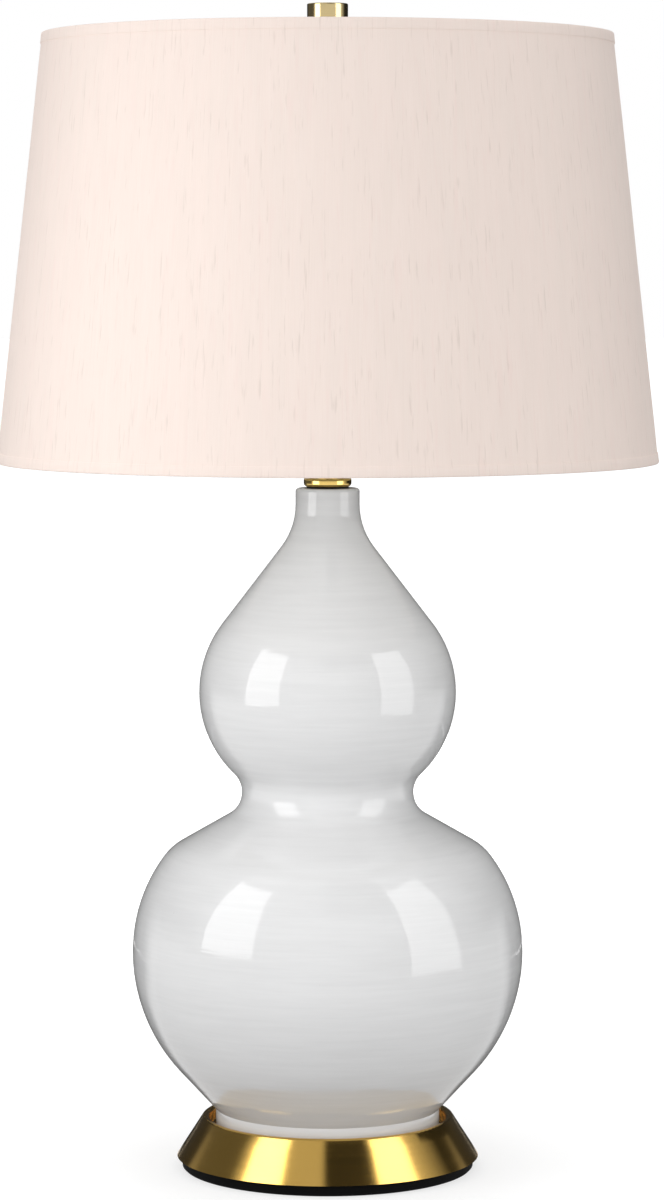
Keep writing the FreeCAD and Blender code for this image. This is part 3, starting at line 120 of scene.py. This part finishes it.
def scaled(tree, vector, across, along):
    """Position divided by a grain's size in metres, across and along the lamp's axis."""
    size = (1 / across, 1 / across, 1 / along)
    node = add(tree, "ShaderNodeVectorMath", {0: vector, 1: size}, operation="MULTIPLY")
    return node.outputs[0]


def grain(tree, vector, detail=2.0, roughness=0.5):
    """Noise from 0 to 1, with features about one unit of the vector in size."""
    node = add(tree, "ShaderNodeTexNoise", {
        "Vector": vector, "Scale": 1.0, "Detail": detail, "Roughness": roughness})
    return node.outputs[0]


def position(tree):
    return add(tree, "ShaderNodeTexCoord").outputs["Object"]


def bump(tree, height, distance, strength=1.0, under=None):
    inputs = {"Height": height, "Distance": distance, "Strength": strength}
    if under is not None:
        inputs["Normal"] = under
    return add(tree, "ShaderNodeBump", inputs).outputs[0]


def new_material(name):
    material = bpy.data.materials.new(name)
    material.use_nodes = True
    tree = material.node_tree
    tree.nodes.clear()
    return material, tree


def finish_material(tree, shader):
    output = add(tree, "ShaderNodeOutputMaterial")
    tree.links.new(shader, output.inputs["Surface"])


def principled(tree, **sockets):
    """Principled shader, with its sockets named as base_color, sheen_weight and so on."""
    inputs = {}
    for name, value in sockets.items():
        words = name.replace("_", " ").title().replace("Ior", "IOR")
        inputs[words] = value
    return add(tree, "ShaderNodeBsdfPrincipled", inputs).outputs[0]


def varied(name, light, dark, grain_size, roughness, depth, detail=3.0, **constants):
    """Material of an ordinary surface: tone, roughness and height follow its grain.

    light and dark are its two tones, roughness its lowest and highest value, and depth the
    height of the grain in metres.
    """
    material, tree = new_material(name)
    place = position(tree)
    fine = grain(tree, scaled(tree, place, grain_size, grain_size), detail)
    wide = grain(tree, scaled(tree, place, TONE_SIZE, TONE_SIZE), 2.0)
    tone = math_node(tree, "MULTIPLY_ADD", wide, 0.6, math_node(tree, "MULTIPLY", fine, 0.4))
    shader = principled(
        tree,
        base_color=blend_colours(tree, stretch(tree, tone, *NARROW_MIDDLE), rgb(*dark), rgb(*light)),
        roughness=stretch(tree, fine, *MIDDLE, *roughness),
        normal=bump(tree, fine, depth),
        **constants)
    finish_material(tree, shader)
    return material


def round_place(tree):
    """A point's distance from the axis, its height, and its place with the height left out."""
    parts = add(tree, "ShaderNodeSeparateXYZ", {0: position(tree)}).outputs
    flat = add(tree, "ShaderNodeCombineXYZ", {0: parts[0], 1: parts[1]}).outputs[0]
    distance = add(tree, "ShaderNodeVectorMath", {0: flat}, operation="LENGTH").outputs["Value"]
    return distance, parts[2], flat


def spun_metal(name, light, dark, roughness, line, depth, anisotropy):
    """Metal with the concentric lines of spinning or polishing on a lathe."""
    material, tree = new_material(name)
    distance, height, _ = round_place(tree)
    profile = add(tree, "ShaderNodeCombineXYZ", {0: distance, 1: height}).outputs[0]
    lines = grain(tree, scaled(tree, profile, line, line), 4.0, 0.6)
    place = position(tree)
    patches = grain(tree, scaled(tree, place, 0.06, 0.06), 2.0)
    wipes = grain(tree, scaled(tree, place, 0.05, 0.0012), 3.0)
    tone = math_node(tree, "MULTIPLY_ADD", patches, 0.6, math_node(tree, "MULTIPLY", lines, 0.4))
    level = math_node(tree, "MULTIPLY_ADD", wipes, 0.5, math_node(tree, "MULTIPLY", lines, 0.5))
    tangent = add(tree, "ShaderNodeTangent", direction_type="RADIAL", axis="Z").outputs[0]
    shader = principled(
        tree,
        base_color=blend_colours(tree, stretch(tree, tone, *NARROW_MIDDLE), rgb(*dark), rgb(*light)),
        metallic=1.0,
        roughness=stretch(tree, level, *MIDDLE, *roughness),
        anisotropic=anisotropy,
        anisotropic_rotation=0.25,
        tangent=tangent,
        normal=bump(tree, lines, depth))
    finish_material(tree, shader)
    return material


def glaze():
    """White glaze, brushed on round the turning body: clear, with faint level streaks."""
    material, tree = new_material("white_glaze")
    place = position(tree)
    drift = grain(tree, scaled(tree, place, 0.09, 0.035), 2.0)
    streaks = grain(tree, scaled(tree, place, 0.050, 0.0028), 3.0, 0.6)
    brush = grain(tree, scaled(tree, place, 0.022, 0.0011), 2.0, 0.6)
    specks = grain(tree, scaled(tree, place, 0.0012, 0.0012), 1.0)
    level = math_node(tree, "MULTIPLY_ADD", streaks, 0.6, math_node(tree, "MULTIPLY", drift, 0.4))
    tone = blend_colours(tree, stretch(tree, level, *NARROW_MIDDLE),
                         rgb(0.832, 0.834, 0.837), rgb(0.880, 0.882, 0.885))
    speck = stretch(tree, specks, 0.80, 0.86)
    waves = bump(tree, drift, 0.0009)
    waves = bump(tree, streaks, 0.00007, under=waves)
    shader = principled(
        tree,
        base_color=blend_colours(tree, speck, tone, rgb(0.72, 0.71, 0.69)),
        roughness=stretch(tree, brush, *MIDDLE, 0.02, 0.05),
        normal=waves,
        ior=1.52)
    finish_material(tree, shader)
    return material


def cloth():
    """Slub weave: fine upright threads, a few of them thick and darker for a short way."""
    material, tree = new_material("shade_cloth")
    _, height, flat = round_place(tree)
    outward = add(tree, "ShaderNodeVectorMath", {0: flat}, operation="NORMALIZE").outputs[0]
    round_at = add(tree, "ShaderNodeVectorMath", {0: outward, "Scale": SHADE_BOTTOM_RADIUS},
                   operation="SCALE").outputs[0]
    upright = add(tree, "ShaderNodeCombineXYZ", {2: height}).outputs[0]
    along = add(tree, "ShaderNodeVectorMath", {0: round_at, 1: upright}).outputs[0]
    threads = grain(tree, scaled(tree, along, 0.00045, 0.030), 2.0)
    wefts = grain(tree, scaled(tree, along, 0.008, 0.00035), 2.0)
    slubs = grain(tree, scaled(tree, along, 0.0019, 0.0210), 2.0, 0.55)
    shift = add(tree, "ShaderNodeVectorMath", {0: along, 1: (3.1, 1.7, 0.9)}).outputs[0]
    blush = grain(tree, scaled(tree, shift, 0.0034, 0.0300), 2.0)
    panels = grain(tree, scaled(tree, shift, 0.009, 0.060), 2.0)
    cloud = grain(tree, scaled(tree, along, 0.03, 0.05), 3.0)
    dark = stretch(tree, slubs, 0.61, 0.74)
    pink = stretch(tree, blush, 0.56, 0.74)
    tone = blend_colours(tree, stretch(tree, threads, *MIDDLE),
                         rgb(0.925, 0.792, 0.722), rgb(0.948, 0.822, 0.756))
    tone = blend_colours(tree, math_node(tree, "MULTIPLY", dark, 0.34), tone,
                         rgb(0.64, 0.53, 0.46))
    tone = blend_colours(tree, math_node(tree, "MULTIPLY", pink, 0.30), tone,
                         rgb(0.92, 0.735, 0.680))
    tone = blend_colours(tree, stretch(tree, panels, 0.40, 0.62, 0.0, 0.14), tone,
                         rgb(0.84, 0.75, 0.68))
    tone = blend_colours(tree, stretch(tree, cloud, *NARROW_MIDDLE, 0.0, 0.12), tone,
                         rgb(0.93, 0.77, 0.71))
    relief = math_node(tree, "MULTIPLY_ADD", slubs, 0.6, math_node(tree, "MULTIPLY", threads, 0.2))
    relief = math_node(tree, "MULTIPLY_ADD", wefts, 0.12, relief)
    shader = principled(
        tree,
        base_color=tone,
        roughness=stretch(tree, threads, *MIDDLE, 0.76, 0.90),
        sheen_weight=0.08,
        sheen_roughness=0.5,
        normal=bump(tree, relief, 0.00022, 0.5))
    finish_material(tree, shader)
    return material


def frosted():
    """Thin white-frosted glass."""
    material, tree = new_material("frosted_glass")
    place = position(tree)
    fine = grain(tree, scaled(tree, place, 0.0008, 0.0008), 2.0)
    wide = grain(tree, scaled(tree, place, 0.02, 0.02), 2.0)
    shader = principled(
        tree,
        base_color=blend_colours(tree, wide, rgb(0.90, 0.90, 0.88), rgb(0.95, 0.95, 0.94)),
        roughness=stretch(tree, fine, *MIDDLE, 0.22, 0.34),
        transmission_weight=0.35,
        ior=1.5,
        normal=bump(tree, fine, 0.00002))
    finish_material(tree, shader)
    return material


MATERIALS = {
    # The foot pad's rubber is set darker than black rubber is: partly its own black, partly painted
    # shade under the base's lip.
    "black_rubber": varied("black_rubber", (0.005, 0.005, 0.005), (0.003, 0.003, 0.003),
                           0.0006, (0.75, 0.90), 0.00004, specular_ior_level=0.08),
    "base_brass": spun_metal("base_brass", (0.75, 0.480, 0.130), (0.70, 0.440, 0.108),
                             (0.12, 0.17), 0.0004, 0.000002, 0.6),
    "cast_iron": varied("cast_iron", (0.050, 0.050, 0.052), (0.030, 0.029, 0.029),
                        0.0012, (0.55, 0.80), 0.00025, 5.0),
    "bushing": varied("bushing", (0.030, 0.030, 0.031), (0.018, 0.018, 0.018),
                      0.0005, (0.45, 0.60), 0.00002),
    "zinc_steel": varied("zinc_steel", (0.64, 0.64, 0.62), (0.50, 0.50, 0.47),
                         0.0008, (0.26, 0.42), 0.00001, metallic=1.0),
    "gasket_rubber": varied("gasket_rubber", (0.030, 0.030, 0.031), (0.020, 0.020, 0.020),
                            0.0004, (0.70, 0.85), 0.00003),
    "white_glaze": glaze(),
    "polished_brass": spun_metal("polished_brass", (0.62, 0.495, 0.260), (0.56, 0.435, 0.215),
                                 (0.10, 0.17), 0.0003, 0.000002, 0.2),
    "harp_finish": varied("harp_finish", (0.64, 0.49, 0.25), (0.54, 0.39, 0.18),
                          0.0015, (0.18, 0.30), 0.00001, metallic=1.0),
    "paper_sleeve": varied("paper_sleeve", (0.46, 0.39, 0.29), (0.36, 0.29, 0.20),
                           0.0005, (0.50, 0.70), 0.00004),
    "phenolic": varied("phenolic", (0.035, 0.030, 0.027), (0.022, 0.019, 0.017),
                       0.0005, (0.28, 0.42), 0.00001),
    "socket_aluminium": varied("socket_aluminium", (0.80, 0.80, 0.79), (0.70, 0.70, 0.69),
                               0.0007, (0.22, 0.36), 0.00001, metallic=1.0),
    "contact_brass": varied("contact_brass", (0.72, 0.56, 0.30), (0.62, 0.46, 0.23),
                            0.0006, (0.20, 0.34), 0.00001, metallic=1.0),
    "knob_plastic": varied("knob_plastic", (0.020, 0.020, 0.021), (0.014, 0.014, 0.014),
                           0.0005, (0.20, 0.32), 0.00001),
    "bulb_black_glass": varied("bulb_black_glass", (0.020, 0.020, 0.024),
                               (0.012, 0.012, 0.014), 0.0008, (0.10, 0.20), 0.00001),
    "frosted_glass": frosted(),
    "shade_cloth": cloth(),
    "shade_liner": varied("shade_liner", (0.90, 0.89, 0.86), (0.84, 0.82, 0.78),
                          0.0012, (0.50, 0.64), 0.00003),
    "shade_wire": varied("shade_wire", (0.82, 0.82, 0.80), (0.74, 0.74, 0.71),
                         0.0010, (0.26, 0.38), 0.00002),
}

# Nodes whose look isn't their slot's.
OWN_LOOKS = {
    "vase_cap": spun_metal("cap_brass", (0.76, 0.55, 0.19), (0.69, 0.48, 0.14),
                           (0.09, 0.15), 0.0003, 0.000002, 0.2),
}

# ---------------------------------------------------------------- pieces


def to_object(name, mesh):
    """Object that holds the mesh, linked to the scene."""
    data = bpy.data.meshes.new(name)
    mesh.to_mesh(data)
    mesh.free()
    piece = bpy.data.objects.new(name, data)
    bpy.context.scene.collection.objects.link(piece)
    return piece


def round_piece(name, section, angles, closed=True):
    """Mesh of a section carried round the lamp's axis.

    section(angle) gives a closed loop of (radius, height). Angle 0 is the front.
    """
    mesh = bmesh.new()
    rings = []
    for angle in angles:
        outward = (math.sin(angle), -math.cos(angle))
        rings.append([mesh.verts.new((radius * outward[0], radius * outward[1], height))
                      for radius, height in section(angle)])
    pairs = list(zip(rings, rings[1:]))
    if closed:
        pairs.append((rings[-1], rings[0]))
    for left, right in pairs:
        count = len(left)
        for index in range(count):
            after = (index + 1) % count
            mesh.faces.new((left[index], right[index], right[after], left[after]))
    if not closed:
        mesh.faces.new(rings[0])
        mesh.faces.new(rings[-1][::-1])
    bmesh.ops.recalc_face_normals(mesh, faces=mesh.faces)
    piece = to_object(name, mesh)
    piece.data.shade_smooth()
    piece.data.set_sharp_from_angle(angle=math.radians(SMOOTH_ANGLE))
    return piece


def dress(piece, body, slot):
    piece.data.materials.append(MATERIALS[slot])
    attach(piece, body)


def shade_radius(height):
    share = (SHADE_TOP - height) / (SHADE_TOP - SHADE_BOTTOM)
    return SHADE_TOP_RADIUS + (SHADE_BOTTOM_RADIUS - SHADE_TOP_RADIUS) * share


def ease(value):
    value = min(max(value, 0.0), 1.0)
    return value * value * (3 - 2 * value)


def make_cloth():
    """The shade's face: one sheet, whose edge laps over its start at the back."""
    overlap = SEAM_OVERLAP / SHADE_BOTTOM_RADIUS
    first = -math.pi
    last = math.pi + overlap
    heights = [SHADE_BOTTOM + (SHADE_TOP - SHADE_BOTTOM) * row / CLOTH_ROWS
               for row in range(CLOTH_ROWS + 1)]

    def section(angle):
        lap = SEAM_RISE * ease((angle - math.pi + overlap) / overlap)
        outside = []
        inside = []
        for height in heights:
            around = Vector((math.sin(angle), math.cos(angle), height / CLOTH_WAVE_HEIGHT))
            around = around * CLOTH_WAVES
            edge = min(height - SHADE_BOTTOM, SHADE_TOP - height) / CLOTH_STILL_EDGE
            give = CLOTH_WOBBLE * (noise.noise(around) + 1) * ease(edge)
            radius = shade_radius(height) + lap + give
            outside.append((radius, height))
            inside.append((radius - CLOTH_THICKNESS, height))
        return outside + inside[::-1]

    angles = [first + (last - first) * step / CLOTH_STEPS for step in range(CLOTH_STEPS + 1)]
    piece = round_piece("shade_cloth_face", section, angles, closed=False)
    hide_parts("shade_fabric")
    dress(piece, "shade", "shade_cloth")
    return piece


def hem_section(rim, inward):
    """Loop round the folded trim, in shares of its thickness: outside, rolled edge, inside."""
    trim = HEM_THICKNESS
    outer = HEM_GAP
    inner = -HEM_DEPTH
    loop = [
        (outer, HEM_WIDTH),
        (outer + trim * 0.7, HEM_WIDTH - trim * 0.1),
        (outer + trim, HEM_WIDTH - trim * 0.8),
        (outer + trim, HEM_WIDTH * 0.5),
        (outer + trim * 1.1, trim * 1.5),
        (outer + trim * 0.9, 0.0),
        (outer + trim * 0.3, -trim * 0.75),
        (outer - trim * 0.8, -trim),
        (inner + trim * 0.8, -trim),
        (inner - trim * 0.3, -trim * 0.75),
        (inner - trim * 0.9, 0.0),
        (inner - trim, trim * 1.5),
        (inner - trim, HEM_INNER_WIDTH - trim),
        (inner - trim * 0.4, HEM_INNER_WIDTH),
        (inner, HEM_INNER_WIDTH - trim * 0.5),
        (inner, 0.0),
        (outer, 0.0),
    ]
    points = []
    for offset, depth in loop:
        height = rim - depth * inward
        points.append((shade_radius(height) + offset, height))
    return points


def make_hem(name, node, rim, inward):
    loop = hem_section(rim, inward)

    def section(angle):
        points = []
        for radius, height in loop:
            around = Vector((math.sin(angle) * HEM_WAVES, math.cos(angle) * HEM_WAVES,
                             height / HEM_WAVE_HEIGHT))
            give = HEM_WOBBLE * noise.noise(around)
            points.append((radius + give, height))
        return points

    angles = [2 * math.pi * step / HEM_STEPS for step in range(HEM_STEPS)]
    piece = round_piece(name, section, angles)
    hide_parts(node)
    dress(piece, "shade", "shade_cloth")
    return piece


cloth_face = make_cloth()
top_hem = make_hem("shade_hem_upper", "shade_top_hem", SHADE_TOP, 1)
bottom_hem = make_hem("shade_hem_lower", "shade_bottom_hem", SHADE_BOTTOM, -1)

for entry in frame["record"]["subparts"]:
    node = frame["nodes"][entry["node"]]
    node.data.materials.clear()
    own = OWN_LOOKS.get(entry["node"])
    node.data.materials.append(own or MATERIALS[entry["material_slot"]])
    node.modifiers.new("join_faces", "WELD").merge_threshold = WELD_DISTANCE
    node.modifiers.new("keep_creases", "EDGE_SPLIT").split_angle = math.radians(NODE_SMOOTH_ANGLE)
    node.data.shade_smooth()

# ---------------------------------------------------------------- studio

AMBIENT = 0.45
CARD_STEPS = 24
FLOOR_REACH = 30
FLOOR_DROP = 0.2 * MM
FLOOR_TONE = 0.41
# The floor's own glow rises from near the lamp to far from it, over these distances.
FLOOR_GLOW_FROM = (0.10, 0.8)
FLOOR_GLOW = (0.67, 1.0)
OVERHEAD_HEIGHT = 2.3

CAMERA_PLACE = (0.0027, -2.5496, 0.5568)
CAMERA_DIP = 4.574
CAMERA_LENS = 124.5
CAMERA_SENSOR = 36
CAMERA_REACH = 100


def direction(azimuth):
    """Level unit vector from the lamp: azimuth 0 is the viewer's side, positive to the right."""
    turn = math.radians(azimuth)
    return Vector((math.sin(turn), -math.cos(turn), 0))


def face_axis(piece, azimuth, distance, height):
    """Stands a light upright, turned to the lamp's axis."""
    away = direction(azimuth)
    piece.location = away * distance + Vector((0, 0, height))
    piece.rotation_mode = "QUATERNION"
    piece.rotation_quaternion = (-away).to_track_quat("-Z", "Y")


def area_light(name, width, height, radiance):
    """Plain box of light, facing down until it is turned.

    It only lights matt surfaces. Gloss shows the cards, the flags and the backdrop instead.
    """
    light = bpy.data.lights.new(name, "AREA")
    light.shape = "RECTANGLE"
    light.size = width
    light.size_y = height
    light.energy = radiance * math.pi * width * height
    piece = bpy.data.objects.new(name, light)
    bpy.context.scene.collection.objects.link(piece)
    piece.visible_camera = False
    piece.visible_glossy = False
    return piece


def softbox(name, azimuth, distance, width, low, high, radiance):
    """Upright softbox of that width in metres, from height low to height high."""
    piece = area_light(name, width, high - low, radiance)
    face_axis(piece, azimuth, distance, (low + high) / 2)


def seen_directly(tree):
    """1 for rays from the camera or by way of gloss or glass, 0 once a ray has left a matt part."""
    path = add(tree, "ShaderNodeLightPath").outputs
    seen = math_node(tree, "MAXIMUM", path["Is Camera Ray"], path["Is Glossy Ray"])
    seen = math_node(tree, "MAXIMUM", seen, path["Is Transmission Ray"])
    direct = math_node(tree, "LESS_THAN", path["Diffuse Depth"], 0.5)
    return math_node(tree, "MULTIPLY", seen, direct)


def link_stage(name, mesh):
    piece = to_object(name, mesh)
    return piece


def soft_edge(tree, value, ends, fades):
    """1 between the two ends, falling to 0 over the fade inside each. A fade is never 0."""
    low, high = ends
    rise = stretch(tree, value, low, low + fades[0])
    fall = stretch(tree, value, high - fades[1], high, 1.0, 0.0)
    return math_node(tree, "MULTIPLY", rise, fall)


def card(name, azimuths, fades, foot, head, end_fades, level):
    """Card or flag that only gloss shows, swept round the lamp, with soft edges.

    azimuths are its two ends in degrees. foot and head, as (distance, height) from the lamp's
    axis, are the edges of its section. fades and end_fades are the widths of the soft edges,
    in degrees and metres, and level is how bright it is.
    """
    mesh = bmesh.new()
    columns = []
    for step in range(CARD_STEPS + 1):
        away = direction(azimuths[0] + (azimuths[1] - azimuths[0]) * step / CARD_STEPS)
        columns.append([mesh.verts.new((away.x * distance, away.y * distance, height))
                        for distance, height in (foot, head)])
    for left, right in zip(columns, columns[1:]):
        mesh.faces.new((left[0], right[0], right[1], left[1]))
    piece = link_stage(name, mesh)
    piece.visible_camera = False
    piece.visible_diffuse = False
    piece.visible_shadow = False
    piece.visible_transmission = False
    piece.visible_volume_scatter = False
    material, tree = new_material(name)
    parts = add(tree, "ShaderNodeSeparateXYZ", {0: position(tree)}).outputs
    middle = direction(sum(azimuths) / 2)
    across = math_node(tree, "MULTIPLY_ADD", parts[0], -middle.y,
                       math_node(tree, "MULTIPLY", parts[1], middle.x))
    forward = math_node(tree, "MULTIPLY_ADD", parts[0], middle.x,
                        math_node(tree, "MULTIPLY", parts[1], middle.y))
    turn = math_node(tree, "ARCTAN2", across, forward)
    half = math.radians(azimuths[1] - azimuths[0]) / 2
    cover = soft_edge(tree, turn, (-half, half), [math.radians(fade) for fade in fades])
    section = Vector(head) - Vector(foot)
    reach = section.length
    section.normalize()
    distance, height, _ = round_place(tree)
    along = math_node(tree, "MULTIPLY_ADD", distance, section.x,
                      math_node(tree, "MULTIPLY", height, section.y))
    start = section.dot(Vector(foot))
    cover = math_node(tree, "MULTIPLY", cover,
                      soft_edge(tree, along, (start, start + reach), end_fades))
    cover = math_node(tree, "MULTIPLY", cover, seen_directly(tree))
    mixed = add(tree, "ShaderNodeMixShader", {
        0: cover,
        1: add(tree, "ShaderNodeBsdfTransparent").outputs[0],
        2: add(tree, "ShaderNodeEmission",
               {"Color": rgb(1, 1, 1), "Strength": level}).outputs[0]})
    finish_material(tree, mixed.outputs[0])
    piece.data.materials.append(material)


world = bpy.data.worlds.new("studio")
world.use_nodes = True
world_tree = world.node_tree
world_tree.nodes.clear()
world_level = stretch(world_tree, seen_directly(world_tree), 0.0, 1.0, AMBIENT, 1.0)
backdrop = add(world_tree, "ShaderNodeBackground",
               {"Color": rgb(1, 1, 1), "Strength": world_level})
world_out = add(world_tree, "ShaderNodeOutputWorld")
world_tree.links.new(backdrop.outputs[0], world_out.inputs["Surface"])
bpy.context.scene.world = world

floor_mesh = bmesh.new()
floor_mesh.faces.new([floor_mesh.verts.new((FLOOR_REACH * x, FLOOR_REACH * y, -FLOOR_DROP))
                      for x, y in ((-1, -1), (1, -1), (1, 1), (-1, 1))])
floor = link_stage("floor", floor_mesh)
floor_material, floor_tree = new_material("floor")
floor_distance, _, _ = round_place(floor_tree)
floor_glow = stretch(floor_tree, floor_distance, *FLOOR_GLOW_FROM, *FLOOR_GLOW)
floor_glow = math_node(floor_tree, "MULTIPLY", floor_glow, seen_directly(floor_tree))
floor_shader = add(floor_tree, "ShaderNodeAddShader", {
    0: principled(floor_tree, base_color=rgb(FLOOR_TONE, FLOOR_TONE, FLOOR_TONE),
                  roughness=1.0, specular_ior_level=0.0),
    1: add(floor_tree, "ShaderNodeEmission", {"Strength": floor_glow}).outputs[0]})
finish_material(floor_tree, floor_shader.outputs[0])
floor.data.materials.append(floor_material)

softbox("softbox_left", -55, 0.72, 0.45, 0.20, 0.95, 1.88)
softbox("softbox_right", 62, 1.12, 0.80, 0.0, 1.45, 0.74)
softbox("softbox_front", 0, 2.0, 2.4, 0.0, 1.1, 1.78)
softbox("softbox_back", 180, 2.4, 2.8, 0.0, 1.8, 2.1)
overhead = area_light("overhead", 1.2, 1.2, 1.5)
overhead.location = (0, 0, OVERHEAD_HEIGHT)

RIM = (0.01, 0.01)
BEHIND = (118, 242)

card("card_left", (-74, -41), (0.6, 1.5), (0.72, 0.20), (0.72, 0.95), RIM, 4.2)
card("card_right", (47, 82), (0.6, 3.0), (1.12, 0.0), (1.12, 1.45), RIM, 3.4)
card("flag_front", (-8, 50), (7, 8), (1.3, 0.95), (1.3, 5.0), (0.15, 0.5), 0.03)
card("flag_front_left", (-42, -2), (4, 6), (1.32, 0.95), (1.32, 5.0), (0.15, 0.5), 0.66)
card("flag_left", (-140, -74), (4, 12), (0.90, 0.20), (0.90, 2.4), (0.12, 0.5), 0.14)
card("flag_right", (74, 177), (36, 30), (0.90, 0.20), (0.90, 2.4), (0.12, 0.5), 0.03)
card("flag_behind", BEHIND, (13, 13), (0.95, 0.0), (0.95, 1.3), (0.01, 0.4), 0.05)
card("flag_floor", BEHIND, (13, 13), (0.10, 0.001), (0.95, 0.001), (0.03, 0.01), 0.05)

bpy.context.scene.view_settings.view_transform = "Standard"

camera_data = bpy.data.cameras.new("camera")
camera_data.lens = CAMERA_LENS
camera_data.sensor_width = CAMERA_SENSOR
camera_data.clip_end = CAMERA_REACH
camera = bpy.data.objects.new("camera", camera_data)
camera.location = CAMERA_PLACE
camera.rotation_euler = (math.radians(90 - CAMERA_DIP), 0, 0)
bpy.context.scene.collection.objects.link(camera)
bpy.context.scene.camera = camera
